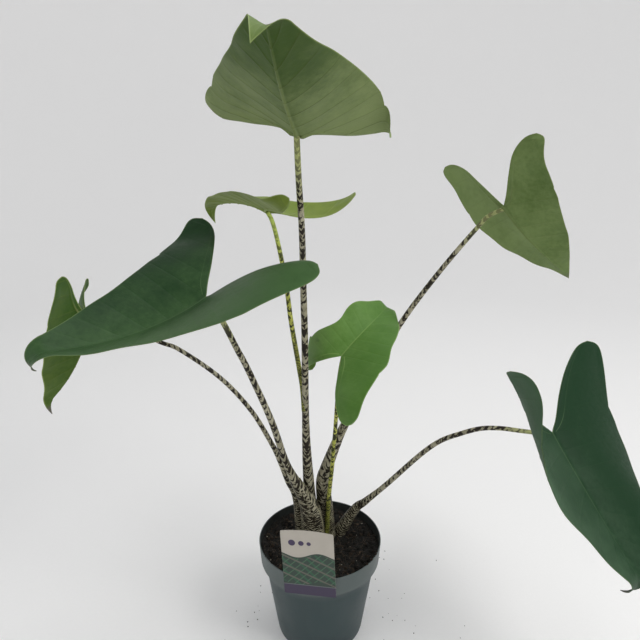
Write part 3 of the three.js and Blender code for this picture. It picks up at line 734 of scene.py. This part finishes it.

# Leaf blades: grown flesh, arrow-shaped and quilted between the side veins, with a midrib underneath and a
# thin pale margin. Each grows from its stalk at the notch, and folds, curls, droops and hooks in its own way.

# Angles are degrees, ripples, quilts and lengths mm. A half's sizes come in the order of HALF_SIZES. spread
# turns its lobe out, its widths, lengths and belly are percent, and a waist narrows it most at a percent of
# the blade's length. fold is at the midrib, curl runs across the half, droop along its lobe, tuck beside the
# lobe's own rib, and nip at the lobe's end, from a start in percent and across a line that can slant. arch
# runs along the midrib and hook at the tip. pale is how light a blade is at its notch, and how that changes
# towards its tip and its right margin. Along the blade this is partly its own tone and partly painted light
# and shade; towards the right margin it is painted light and shade only. dry is how brown the very tip has
# dried.
HALF_SIZES = ("spread", "wide", "long", "belly", "waist", "at", "fold", "curl",
              "droop", "tuck", "nip", "slant", "start")
BLADES = {
    "a": {
        "length": 262, "width": 110, "lobe": 61, "arch": 6, "hook": -88, "twist": 2, "sway": -4,
        "pale": (0.78, -0.96, -0.16), "ripple": 1.5, "quilt": 0.4, "dry": 0,
        "right": (5, 115, 96, -1, 3, 53, 13, 0, -25, 2, 47, 42, 68),
        "left": (12, 96, 103, 18, 1, 27, 34, 45, -48, -3, -81, 23, 84),
    },
    "b": {
        "length": 182, "width": 66, "lobe": 109, "arch": -42, "hook": -88, "twist": -24, "sway": 1,
        "pale": (0.55, -0.2, 0), "ripple": 1.2, "quilt": 0.5, "dry": 0.3,
        "right": (14, 107, 100, -7, 11, 15, -10, 20, 56, -4, 1, -1, 60),
        "left": (11, 95, 90, 0, 4, 30, 36, -7, -11, -9, 60, 0, 74),
    },
    "c": {
        "length": 214, "width": 104, "lobe": 112, "arch": 40, "hook": -147, "twist": -20, "sway": 15,
        "pale": (0.5, 0.12, -0.52), "ripple": 0.8, "quilt": 0.25, "dry": 1,
        "right": (18, 110, 96, 2, -2, 16, 31, -30, 1, -22, 54, -12, 71),
        "left": (6, 114, 102, -17, 11, 53, 25, -23, -14, -20, -19, -6, 43),
    },
    "d": {
        "length": 148, "width": 70, "lobe": 62, "arch": 40, "hook": -72, "twist": 8, "sway": -2,
        "pale": (0.25, 0.45, -0.1), "ripple": 1.6, "quilt": 0.3, "dry": 1,
        "right": (19, 98, 87, -3, 2, 31, 42, -14, -26, -8, -14, -15, 60),
        "left": (2, 115, 104, 25, 9, 20, 36, -24, -20, -18, 24, -10, 65),
    },
    "e": {
        "length": 156, "width": 80, "lobe": 91, "arch": 40, "hook": -18, "twist": -26, "sway": 1,
        "pale": (0.64, -0.1, -0.2), "ripple": 1.2, "quilt": 0.3, "dry": 0.5,
        "right": (12, 106, 100, 7, 4, 29, 23, -32, 14, -21, 68, -20, 58),
        "left": (11, 106, 97, 7, 5, 26, 18, -34, 19, -5, -68, -24, 57),
    },
    "f": {
        "length": 212, "width": 120, "lobe": 105, "arch": 2, "hook": -127, "twist": 7, "sway": -4,
        "pale": (0.2, 0.12, 0.7), "ripple": 0.8, "quilt": 0.15, "dry": 1,
        "right": (17, 111, 113, 9, 8, 57, -7, 20, 44, 20, -132, -47, 34),
        "left": (3, 114, 93, 25, -13, 36, 36, -45, 42, -28, 0, 0, 60),
    },
    "g": {
        "length": 131, "width": 70, "lobe": 80, "arch": -55, "hook": -77, "twist": 35, "sway": -7,
        "pale": (0.45, -0.25, -0.4), "ripple": 1.6, "quilt": 0.15, "dry": 0,
        "right": (10, 114, 115, 15, 14, 35, 6, -1, -14, -3, -50, -24, 45),
        "left": (28, 100, 85, 14, 35, 26, 18, -5, -60, -36, -82, 11, 70),
    },
}
LOBE_OUTER_EDGE = [[0.8, -1], [0.93, -0.94], [1, -0.78], [1, -0.45], [0.93, -0.05], [0.86, 0.1]]
LOBE_INNER_EDGE = [[0.8, -1], [0.67, -0.94], [0.5, -0.72], [0.3, -0.42], [0.12, -0.14], [0, 0]]
BLADE_EDGE = [[0.86, 0.1], [0.7, 0.27], [0.47, 0.52], [0.24, 0.76], [0.09, 0.91], [0, 1]]
ROW_EASE = 0.12
WAIST_REACH = 0.18
FOLD_END = 0.06
TUCK_END = 0.1
DROOP_START = 0.15
HOOK_START = 0.82
MIDRIB_DEPTH = 2.2
MIDRIB_BREADTH = 2.4
COSTA_DEPTH = 1.3
COSTA_BREADTH = (0.9, 2.1)
COSTA_SHARE = 0.14
COSTA_COLUMN = 5
MARGIN_DEPTH = 0.2
NOTCH_SWELL = 12
LOBE_VEINS = 4
BLADE_VEINS = 8
VEIN_STEPS = [0, 0.03, 0.08, 0.18, 0.34, 0.5, 0.66, 0.82, 0.92, 0.97]
RIB_COLUMNS = [0, 0.6, 1.2, 1.8, 2.4, 3.2, 4.2, 5.4]
OUTER_COLUMNS = [0.04, 0.09, 0.16, 0.24, 0.33, 0.42, 0.51, 0.6, 0.69, 0.77, 0.84, 0.9, 0.94, 0.97, 0.987, 1]


def bend(p, dx, dy, start, end, degrees):
    """Rolls a sheet up past a line, from one place along (dx, dy) to another."""
    if degrees == 0:
        return
    radius = (end - start) / math.radians(degrees)
    along = p[..., 0] * dx + p[..., 1] * dy
    phi = np.clip((along - start) / (end - start), 0, 1) * math.radians(degrees)
    past = np.maximum(along - end, 0)
    flat = np.where(along < start, along, start + radius * np.sin(phi) + past * np.cos(phi))
    lift = np.where(along < start, 0, radius * (1 - np.cos(phi)) + past * np.sin(phi))
    shift = flat - p[..., 2] * np.sin(phi) - along
    p[..., 0] += shift * dx
    p[..., 1] += shift * dy
    p[..., 2] = lift + p[..., 2] * np.cos(phi)


def turned_sideways(p, angle):
    x, y = p[..., 0].copy(), p[..., 1].copy()
    p[..., 0] = x * np.cos(angle) - y * np.sin(angle)
    p[..., 1] = x * np.sin(angle) + y * np.cos(angle)


def shaped(blade, half, sign, flat, relief):
    """Takes the flat outline (x out from the midrib, y towards the tip) to its place on a blade's half."""
    length, width, lobe = blade["length"], blade["width"], blade["lobe"]
    ahead = np.clip(flat[..., 1] / length, 0, 1)
    p = np.concatenate([flat, relief[..., None]], axis=-1)
    p[..., 1] *= np.where(p[..., 1] < 0, half["long"] / 100, 1)
    waist = half["waist"] / 100 * np.exp(-((p[..., 1] / length - half["at"] / 100) / WAIST_REACH) ** 2)
    belly = half["belly"] / 100 * 4 * ahead * (1 - ahead)
    p[..., 0] *= half["wide"] / 100 * (1 + belly) * (1 - waist)
    turn = math.radians(half["spread"])
    turned_sideways(p, turn * np.sqrt(np.clip(-p[..., 1] / lobe, 0, 1)))

    end = np.array([LOBE_OUTER_EDGE[0][0] * width * half["wide"] / 100, -lobe * half["long"] / 100])
    turned_sideways(end, turn)
    reach = np.linalg.norm(end)
    costa = end / reach
    tucked = p.copy()
    bend(tucked, costa[1], -costa[0], 0, TUCK_END * width, half["tuck"])
    p = np.where(p[..., 1:2] <= 0, tucked, p)
    across = costa.copy()
    turned_sideways(across, math.radians(half["slant"]))
    bend(p, across[0], across[1], half["start"] / 100 * reach, reach, half["nip"])
    bend(p, costa[0], costa[1], DROOP_START * reach, reach, half["droop"])
    bend(p, 1, 0, 0, width, half["curl"])
    bend(p, 1, 0, 0, FOLD_END * width, half["fold"])
    bend(p, 0, 1, HOOK_START * length, length, blade["hook"])
    bend(p, 0, 1, 0, length, blade["arch"])

    far = p[..., 1] / length
    p[..., 0] = sign * p[..., 0] + blade["sway"] / 100 * length * np.clip(far, 0, 1.3) ** 2
    twist = math.radians(blade["twist"]) * np.clip(far, -0.6, 1.2)
    x, z = p[..., 0].copy(), p[..., 2].copy()
    p[..., 0] = x * np.cos(twist) + z * np.sin(twist)
    p[..., 2] = z * np.cos(twist) - x * np.sin(twist)
    return p


def outline(blade, t, edge):
    q = through(edge, t)
    return q * np.stack([np.full(len(t), blade["width"]),
                         np.where(q[:, 1] < 0, blade["lobe"], blade["length"])], axis=1)


def half_flat(blade):
    """Flat places of one half, a row along each side vein and between them, and their share to the margin."""
    lobe_t = np.array([(k + step) / LOBE_VEINS for k in range(LOBE_VEINS) for step in VEIN_STEPS])
    blade_t = np.array([(k + step) / BLADE_VEINS for k in range(BLADE_VEINS) for step in VEIN_STEPS] + [1.0])
    midrib = np.stack([0 * blade_t, blade_t * (1 - ROW_EASE * (1 - blade_t))], axis=1)
    inner = np.concatenate([through(LOBE_INNER_EDGE, lobe_t), midrib])
    outer = np.concatenate([through(LOBE_OUTER_EDGE, lobe_t), through(BLADE_EDGE, blade_t)])
    scale = np.array([blade["width"], 0.5 * (blade["lobe"] + blade["length"])])
    wide = np.linalg.norm((outer - inner) * scale, axis=1)
    shares = []
    for k, reach in enumerate(wide):
        ease = min(1, reach / 30)
        if k < len(lobe_t):
            end = lobe_t[k] ** 6
            costa = COSTA_SHARE * reach * (1 - 0.8 * end) + 3 * end
            slim = min(2.2, 0.6 * costa)
            near = [0, (costa - slim) / 3, (costa - slim) / 1.5, costa - slim, costa - slim / 2, costa,
                    costa + slim / 2, costa + slim]
        else:
            near = [ease * column for column in RIB_COLUMNS]
        rest = [near[-1] + (reach - near[-1]) * column for column in OUTER_COLUMNS]
        shares.append([column / max(reach, 1e-6) for column in near + rest])
    shares = np.clip(np.array(shares), 0, 1)
    q = inner[:, None] * (1 - shares[..., None]) + outer[:, None] * shares[..., None]
    q[..., 0] *= blade["width"]
    q[..., 1] *= np.where(q[..., 1] < 0, blade["lobe"], blade["length"])
    return q, len(lobe_t), np.concatenate([lobe_t * LOBE_VEINS, LOBE_VEINS + blade_t * BLADE_VEINS])


def blade_sheet(blade, top_radius):
    """Middle surface, thickness and vein distances of a whole blade, in its own frame."""
    flat, lobe_rows, phase = half_flat(blade)
    rows, columns = flat.shape[:2]
    steps = len(VEIN_STEPS)
    margin_t = np.linspace(0, 1, 400)
    margin = np.concatenate([outline(blade, margin_t, edge)
                             for edge in (LOBE_OUTER_EDGE, LOBE_INNER_EDGE, BLADE_EDGE)])
    gaps = np.linalg.norm(flat.reshape(-1, 1, 2) - margin[None], axis=2)
    edge = gaps.min(axis=1).reshape(rows, columns)
    nearest = np.clip(np.round(phase).astype(int), 1, LOBE_VEINS + BLADE_VEINS - 1)
    lateral = np.linalg.norm(flat - flat[nearest * steps], axis=2) * 0.9
    rib = np.abs(flat[..., 0])
    costa = flat[:lobe_rows, COSTA_COLUMN, None]
    rib[:lobe_rows] = np.linalg.norm(flat[:lobe_rows] - costa, axis=2)
    tip = np.linalg.norm(flat - np.array([0, blade["length"]]), axis=2)

    far = np.clip(flat[..., 1] / blade["length"], 0, 1)
    swell = np.exp(-np.hypot(flat[..., 0], flat[..., 1]) / NOTCH_SWELL)
    deep = MIDRIB_DEPTH * (1 - 0.85 * far) + top_radius * swell
    broad = MIDRIB_BREADTH * (1 - 0.65 * far) + 0.5 * swell
    lobe_t = (phase[:lobe_rows] / LOBE_VEINS)[:, None]
    deep[:lobe_rows] = COSTA_DEPTH * lobe_t + (top_radius + 0.9) * swell[:lobe_rows] * lobe_t
    broad[:lobe_rows] = COSTA_BREADTH[0] + (COSTA_BREADTH[1] - COSTA_BREADTH[0]) * lobe_t
    keel = deep * np.sqrt(np.clip(1 - (rib / broad) ** 2, 0, 1))
    fade = eased(edge / 10)
    side_vein = np.exp(-(lateral / 0.9) ** 2) * fade
    groove = 0.1 + 0.5 * blade["quilt"]
    skin = MARGIN_DEPTH + 0.25 * eased(edge / 6)
    under = skin + keel + 1.5 * groove * side_vein
    upper = skin - groove * side_vein - 0.2 * np.exp(-(rib / 1.5) ** 2) * fade
    quilt = np.sin(math.pi * phase)[:, None] ** 2
    relief = blade["quilt"] * quilt * eased(rib / 14) * eased(edge / 12)
    waves = np.sin(2.3 * phase + 1.1 * np.sin(0.9 * phase)) * np.sin(0.55 * phase + 0.4)
    near_tip = eased(tip / 40) * eased(phase / 2)[:, None]
    relief += blade["ripple"] * waves[:, None] * (1 - eased(edge / 24)) * near_tip
    return {"flat": flat, "relief": relief, "under": under, "upper": upper, "lobe_rows": lobe_rows,
            "vein": np.stack([lateral, rib / broad * MIDRIB_BREADTH, edge], axis=2), "tip": tip}


def corner_normals(points, faces):
    normals = np.zeros_like(points)
    for face in faces:
        a, b, c = points[face[0]], points[face[1]], points[face[2]]
        d = points[face[-1]]
        normal = np.cross(b - a, c - a) + (np.cross(c - a, d - a) if len(face) == 4 else 0)
        for corner in face:
            normals[corner] += normal
    return normals / np.maximum(np.linalg.norm(normals, axis=1), 1e-12)[:, None]


def open_edges(faces):
    """The edges that only one face has, in the order and the direction of the faces."""
    edges = {}
    for face in faces:
        for start, stop in zip(face, face[1:] + face[:1]):
            if edges.pop((stop, start), None) is None:
                edges[(start, stop)] = True
    return edges


def blade_solid(key, blade, stalk, upper_finish, under_finish):
    """Both skins of a blade, made from one middle surface whose halves share the midrib's points."""
    sheet = blade_sheet(blade, stalk["radius"][2])
    rows, columns = sheet["flat"].shape[:2]
    places, kept, faces = [], [], []
    first = None
    for name, sign in (("right", 1), ("left", -1)):
        half = dict(zip(HALF_SIZES, blade[name]))
        places.append(shaped(blade, half, sign, sheet["flat"], sheet["relief"]))
        ids = np.zeros((rows, columns), int)
        for i in range(rows):
            for j in range(columns):
                if first is not None and i >= sheet["lobe_rows"] and (j == 0 or i == rows - 1):
                    ids[i, j] = first[i, 0]
                elif i in (0, rows - 1) and j > 0:
                    ids[i, j] = ids[i, 0]
                else:
                    ids[i, j] = len(kept)
                    kept.append((len(places) - 1, i, j))
        for i in range(rows - 1):
            for j in range(columns - 1):
                ring = [ids[i, j], ids[i, j + 1], ids[i + 1, j + 1], ids[i + 1, j]]
                corners = list(dict.fromkeys(ring))
                if len(corners) > 2:
                    faces.append([int(c) for c in (corners if sign > 0 else corners[::-1])])
        first = ids if first is None else first
    side, i, j = np.array(kept).T
    points = np.array(places)[side, i, j]
    normals = corner_normals(points, faces)
    turn, notch = notch_turn(stalk), np.array(stalk["notch"], float)
    top = (points + normals * sheet["upper"][i, j, None]) @ turn.T + notch
    low = (points - normals * sheet["under"][i, j, None]) @ turn.T + notch
    count = len(points)
    skin = faces + [corners[::-1] for corners in shifted(faces, count)]
    skin += [[stop, start, count + start, count + stop] for start, stop in open_edges(faces)]
    made = solid_of("blade_" + key, np.concatenate([top, low]) * MM, skin, upper_finish, under_finish)
    slots = [0] * len(faces) + [1] * (len(skin) - len(faces))
    made.data.polygons.foreach_set("material_index", slots)
    x, y = (sheet["flat"][i, j] / (blade["width"], blade["length"])).T
    # The third number of pale sets painted light and shade from one margin to the other; the first two are
    # partly the blade's own tone and partly painted light and shade.
    at_notch, to_tip, painted_light_across = blade["pale"]
    set_vectors(made.data, "vein", np.tile(sheet["vein"][i, j], (2, 1)))
    set_numbers(made.data, "tip", np.tile(sheet["tip"][i, j], 2))
    set_numbers(made.data, "pale", np.tile(at_notch + to_tip * y + painted_light_across * (1 - 2 * side) * x, 2))
    return made


def blade_finish(name, look, blade):
    """Leaf skin: a cloudy green that pales along the blade, partly by its own tone and partly by painted
    light and shade, with painted light and shade alone from one margin to the other; side veins with fine
    veins between them, a rib and a thin pale margin."""
    finish, tree, shader = new_finish(name)
    place = object_place(tree)
    lateral, ribwise, edge = axes_of(tree, marked(tree, "vein"))
    tip, pale = marked(tree, "tip", "Fac"), marked(tree, "pale", "Fac")
    fine = speckled(tree, place, 160, 4, 0.65)
    # The pale mark lightens and darkens the cloudy green: partly the blade's own tone, partly painted light
    # and shade.
    clouds = plus(tree, times(tree, less(tree, speckled(tree, place, 18, 4), 0.5), 0.9), pale)
    clouds = plus(tree, clouds, times(tree, less(tree, fine, 0.5), 0.5))
    colour = tinted(tree, ranged(tree, clouds, 0, 1), look["deep"], look["pale"])
    wander = plus(tree, lateral, times(tree, speckled(tree, place, 45, 3), 9))
    comb = maths(tree, "SINE", times(tree, wander, 2.1))
    thread = ranged(tree, comb, 0.80, 1.0)
    colour = tinted(tree, times(tree, thread, 0.25 * look["veining"]), colour, look["vein"])
    inward = ranged(tree, ribwise, 110, 25, 0.25, 1)
    veined = times(tree, inward, ranged(tree, lateral, 1.0, 0.25, 0, look["veining"]))
    colour = tinted(tree, veined, colour, look["vein"])
    ribbed = ranged(tree, ribwise, look["rib_width"], 0.5 * look["rib_width"])
    ribbed = times(tree, ribbed, ranged(tree, tip, 0.2 * blade["length"], 0.9 * blade["length"], 0.2, 1))
    ribbed = times(tree, ribbed, ranged(tree, tip, blade["length"] + 4, blade["length"] + 30, 1, 0.25))
    colour = tinted(tree, ribbed, colour, look["rib"])
    colour = tinted(tree, ranged(tree, edge, 1.2, 0.4, 0, 0.8), colour, look["margin"])
    shrunk = times(tree, ranged(tree, tip, 16, 6), ranged(tree, fine, 0.30, 0.50, 0, blade["dry"]))
    colour = tinted(tree, shrunk, colour, (0.16, 0.15, 0.13))
    rough = ranged(tree, fine, 0.3, 0.7, look["rough"], look["rough"] + 0.1)
    finished(tree, shader, colour, rough, plus(tree, times(tree, thread, 0.12), fine), 0.00022)
    shader.inputs["Specular IOR Level"].default_value = look["shine"]
    return finish


# Both sides of each blade: the skin's colours where it is deep and pale, those of its veins, its rib and its
# margin, how strongly the veins show, the rib's width in mm, the roughness and the shine.
LOOK_PARTS = ("deep", "pale", "vein", "rib", "margin", "veining", "rib_width", "rough", "shine")
LOOKS = {
    "a_upper": ((0.120, 0.185, 0.040), (0.170, 0.240, 0.062), (0.180, 0.260, 0.080), (0.200, 0.270, 0.100),
                (0.260, 0.330, 0.120), 0.35, 2.0, 0.42, 0.25),
    "a_under": ((0.046, 0.088, 0.014), (0.225, 0.285, 0.115), (0.050, 0.070, 0.012), (0.185, 0.235, 0.085),
                (0.200, 0.260, 0.080), 0.6, 2.6, 0.52, 0.15),
    "b_upper": ((0.100, 0.160, 0.014), (0.240, 0.315, 0.058), (0.300, 0.370, 0.120), (0.330, 0.390, 0.140),
                (0.360, 0.420, 0.170), 0.4, 2.0, 0.44, 0.18),
    "b_under": ((0.072, 0.118, 0.010), (0.205, 0.270, 0.048), (0.100, 0.150, 0.030), (0.240, 0.310, 0.100),
                (0.280, 0.350, 0.130), 0.4, 2.4, 0.48, 0.15),
    "c_upper": ((0.010, 0.040, 0.010), (0.062, 0.128, 0.045), (0.050, 0.110, 0.040), (0.064, 0.124, 0.046),
                (0.130, 0.200, 0.070), 0.09, 1.0, 0.38, 0.2),
    "c_under": ((0.030, 0.062, 0.024), (0.085, 0.135, 0.056), (0.035, 0.060, 0.020), (0.100, 0.140, 0.060),
                (0.130, 0.180, 0.070), 0.6, 2.2, 0.5, 0.2),
    # d's bright yellow-green is partly the blade's own green and partly painted light shining through it.
    "d_upper": ((0.025, 0.078, 0.002), (0.105, 0.175, 0.028), (0.110, 0.160, 0.030), (0.200, 0.250, 0.070),
                (0.300, 0.380, 0.120), 0.3, 1.8, 0.45, 0.12),
    "d_under": ((0.034, 0.090, 0.010), (0.120, 0.185, 0.040), (0.120, 0.160, 0.030), (0.210, 0.250, 0.080),
                (0.300, 0.380, 0.120), 0.3, 2.0, 0.5, 0.1),
    "e_upper": ((0.060, 0.115, 0.020), (0.120, 0.190, 0.045), (0.160, 0.230, 0.070), (0.180, 0.250, 0.090),
                (0.200, 0.250, 0.090), 0.35, 1.8, 0.42, 0.25),
    "e_under": ((0.058, 0.110, 0.018), (0.200, 0.275, 0.098), (0.140, 0.190, 0.060), (0.150, 0.205, 0.068),
                (0.200, 0.250, 0.080), 0.25, 2.0, 0.52, 0.15),
    "f_upper": ((0.008, 0.034, 0.012), (0.056, 0.108, 0.058), (0.040, 0.085, 0.035), (0.052, 0.100, 0.042),
                (0.100, 0.160, 0.060), 0.06, 1.0, 0.42, 0.1),
    "f_under": ((0.020, 0.056, 0.026), (0.052, 0.106, 0.054), (0.028, 0.055, 0.018), (0.070, 0.110, 0.045),
                (0.100, 0.150, 0.060), 0.35, 2.0, 0.52, 0.1),
    "g_upper": ((0.070, 0.168, 0.026), (0.148, 0.275, 0.068), (0.150, 0.270, 0.060), (0.180, 0.300, 0.080),
                (0.220, 0.340, 0.100), 0.12, 1.3, 0.42, 0.2),
    "g_under": ((0.075, 0.165, 0.026), (0.150, 0.255, 0.062), (0.100, 0.190, 0.045), (0.170, 0.260, 0.080),
                (0.200, 0.310, 0.100), 0.28, 2.0, 0.48, 0.15),
}

for key, blade in BLADES.items():
    finishes = []
    for side in ("upper", "under"):
        look = dict(zip(LOOK_PARTS, LOOKS["%s_%s" % (key, side)]))
        finishes.append(blade_finish("blade_%s_%s" % (key, side), look, blade))
    piece = blade_solid(key, blade, STALKS[key], *finishes)
    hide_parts("leaf_" + key)
    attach(piece, "root")

# Plant label: a stiff die-cut polypropylene card, printed on its front. It stands against the rim, a little
# left of the front, and a tongue of the same card passes over the rim and down inside it.
LABEL_WIDTH = 68
LABEL_HEIGHT = 97
LABEL_THICKNESS = 0.7
LABEL_CORNER = 2
LABEL_RISE = 2.5
LABEL_BOTTOM = 126
LABEL_MIDDLE = 4
LABEL_LEAN = 2.7
LABEL_AROUND = -11
TONGUE_WIDTH = 20
TONGUE_REACH = 11
TONGUE_INSET = 2
TONGUE_ROOT = 8
TONGUE_BEND = 0.9
LABEL_GAP = 0.3
LABEL_BACK = -RIM_RADIUS / MM - LABEL_GAP
PANEL_TOP = 62
BAND_TOP = 15
LINE_TOP = 15.8
DOTS_HEIGHT = 80
DOTS = ((-20, 4.5), (-8, 3.6), (2, 2.8))
STROKES = (((0.020, 0.090, 0.045), 1.0, 0.72, 17), ((0.050, 0.130, 0.070), -1.0, 0.84, 11),
           ((0.110, 0.105, 0.085), 0.45, 0.80, 14))


def card_parts():
    """Front and back grids of the card, with rounded corners and an arched top edge."""
    half = LABEL_WIDTH / 2
    ends = [0, 0.08, 0.33, 0.75, 1.3, 2]
    rows = ends + list(np.linspace(5, LABEL_HEIGHT - 5, 40)) + [LABEL_HEIGHT - z for z in reversed(ends)]
    across = np.linspace(-1, 1, 41)
    points, prints = [], []
    for face, y in ((1, LABEL_BACK - LABEL_THICKNESS), (0, LABEL_BACK)):
        for z in rows:
            inset = max(LABEL_CORNER - min(z, LABEL_HEIGHT - z), 0)
            wide = half - LABEL_CORNER + math.sqrt(LABEL_CORNER ** 2 - inset ** 2)
            for u in across:
                x = u * wide
                arch = LABEL_RISE * max(0, 1 - (x / (half - LABEL_CORNER)) ** 2) * z / LABEL_HEIGHT
                lean = math.radians(LABEL_LEAN)
                height = z + arch
                points.append((LABEL_MIDDLE + x * math.cos(lean) - height * math.sin(lean), y,
                               LABEL_BOTTOM + x * math.sin(lean) + height * math.cos(lean)))
                prints.append((x, height, face))
    return points, prints, sheet_faces(len(rows), len(across))


def tongue_parts():
    """A strip that leaves the card's back, turns over the rim on two small bends and ends inside the pot."""
    thick, outside, bend_radius = LABEL_THICKNESS, LABEL_BACK, TONGUE_BEND
    over = POT_HEIGHT / MM + LABEL_GAP
    inside = -RIM_RADIUS / MM + POT_WALL / MM + TONGUE_INSET + thick / 2
    centre = over + thick / 2 - bend_radius
    run = [(outside - thick / 4, over - TONGUE_ROOT), (outside - thick / 4, over)]
    run += [(outside + bend_radius - bend_radius * math.cos(t), centre + bend_radius * math.sin(t))
            for t in (0.5, 0.9, 1.3)]
    run += [(inside - bend_radius + bend_radius * math.sin(t), centre + bend_radius * math.cos(t))
            for t in (0, 0.4, 0.8, 1.2, 1.57)]
    run += [(inside, over - TONGUE_REACH * share) for share in (0.4, 0.7, 1)]
    run = np.array(run)
    ahead = np.gradient(run, axis=0)
    ahead /= np.linalg.norm(ahead, axis=1)[:, None]
    side = np.stack([-ahead[:, 1], ahead[:, 0]], axis=1) * thick / 2
    stops = np.linspace(-TONGUE_WIDTH / 2, TONGUE_WIDTH / 2, 9)
    points = [(x, y, z) for line in (run - side, run + side) for x in stops for y, z in line]
    return points, sheet_faces(len(stops), len(run))


def stripe(tree, value, low, high, soft=0.12):
    """1 between two values and 0 outside them, with a soft edge."""
    up = put(tree, "MapRange", {"Value": value, "From Min": low - soft, "From Max": low + soft})
    down = put(tree, "MapRange", {"Value": value, "From Min": high + soft, "From Max": high - soft})
    return times(tree, up.outputs[0], down.outputs[0])


def label_finish():
    """Cream card with a row of plum dots, a dark panel of plain leaf strokes and a plum band."""
    finish, tree, shader = new_finish("printed_card")
    x, z, front = axes_of(tree, marked(tree, "print"))
    place = object_place(tree)
    clouds = speckled(tree, place, 60, 4)
    card = tinted(tree, clouds, (0.42, 0.385, 0.33), (0.50, 0.465, 0.41))
    wave = maths(tree, "SINE", times(tree, x, 0.11))
    crest = plus(tree, times(tree, wave, 4), PANEL_TOP)
    art = tinted(tree, stripe(tree, less(tree, z, crest), -90, 0), card, (0.022, 0.045, 0.032))
    for tone, slant, thin, spread in STROKES:
        slope = plus(tree, times(tree, x, slant), z)
        comb = maths(tree, "SINE", times(tree, slope, 2 * math.pi / spread))
        inside = stripe(tree, less(tree, z, crest), -44, -2)
        art = tinted(tree, times(tree, ranged(tree, comb, thin, thin + 0.1), inside), art, tone)
    art = tinted(tree, stripe(tree, z, -1, BAND_TOP), art, (0.038, 0.026, 0.062))
    art = tinted(tree, stripe(tree, z, BAND_TOP, LINE_TOP), art, (0.16, 0.17, 0.17))
    for middle, size in DOTS:
        offset = {"X": less(tree, x, middle), "Y": less(tree, z, DOTS_HEIGHT)}
        apart = put(tree, "CombineXYZ", offset).outputs[0]
        far = put(tree, "VectorMath", {0: apart}, operation="LENGTH").outputs["Value"]
        art = tinted(tree, ranged(tree, far, size + 0.15, size - 0.15), art, (0.045, 0.028, 0.080))
    colour = tinted(tree, front, card, art)
    rough = ranged(tree, clouds, 0.3, 0.7, 0.32, 0.42)
    finished(tree, shader, colour, rough, speckled(tree, place, 1200, 2), 0.00004)
    return finish


card_points, card_prints, card_faces = card_parts()
tongue_points, tongue_faces = tongue_parts()
label_faces = card_faces + shifted(tongue_faces, len(card_points))
label = solid_of("label_card", np.array(card_points + tongue_points) * MM, label_faces, label_finish())
set_vectors(label.data, "print", card_prints + [(0, 0, 0)] * len(tongue_points))
label.data.transform(Matrix.Rotation(math.radians(LABEL_AROUND), 4, "Z"))
label.data.set_sharp_from_angle(angle=math.radians(40))
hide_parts("label")
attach(label, "root")
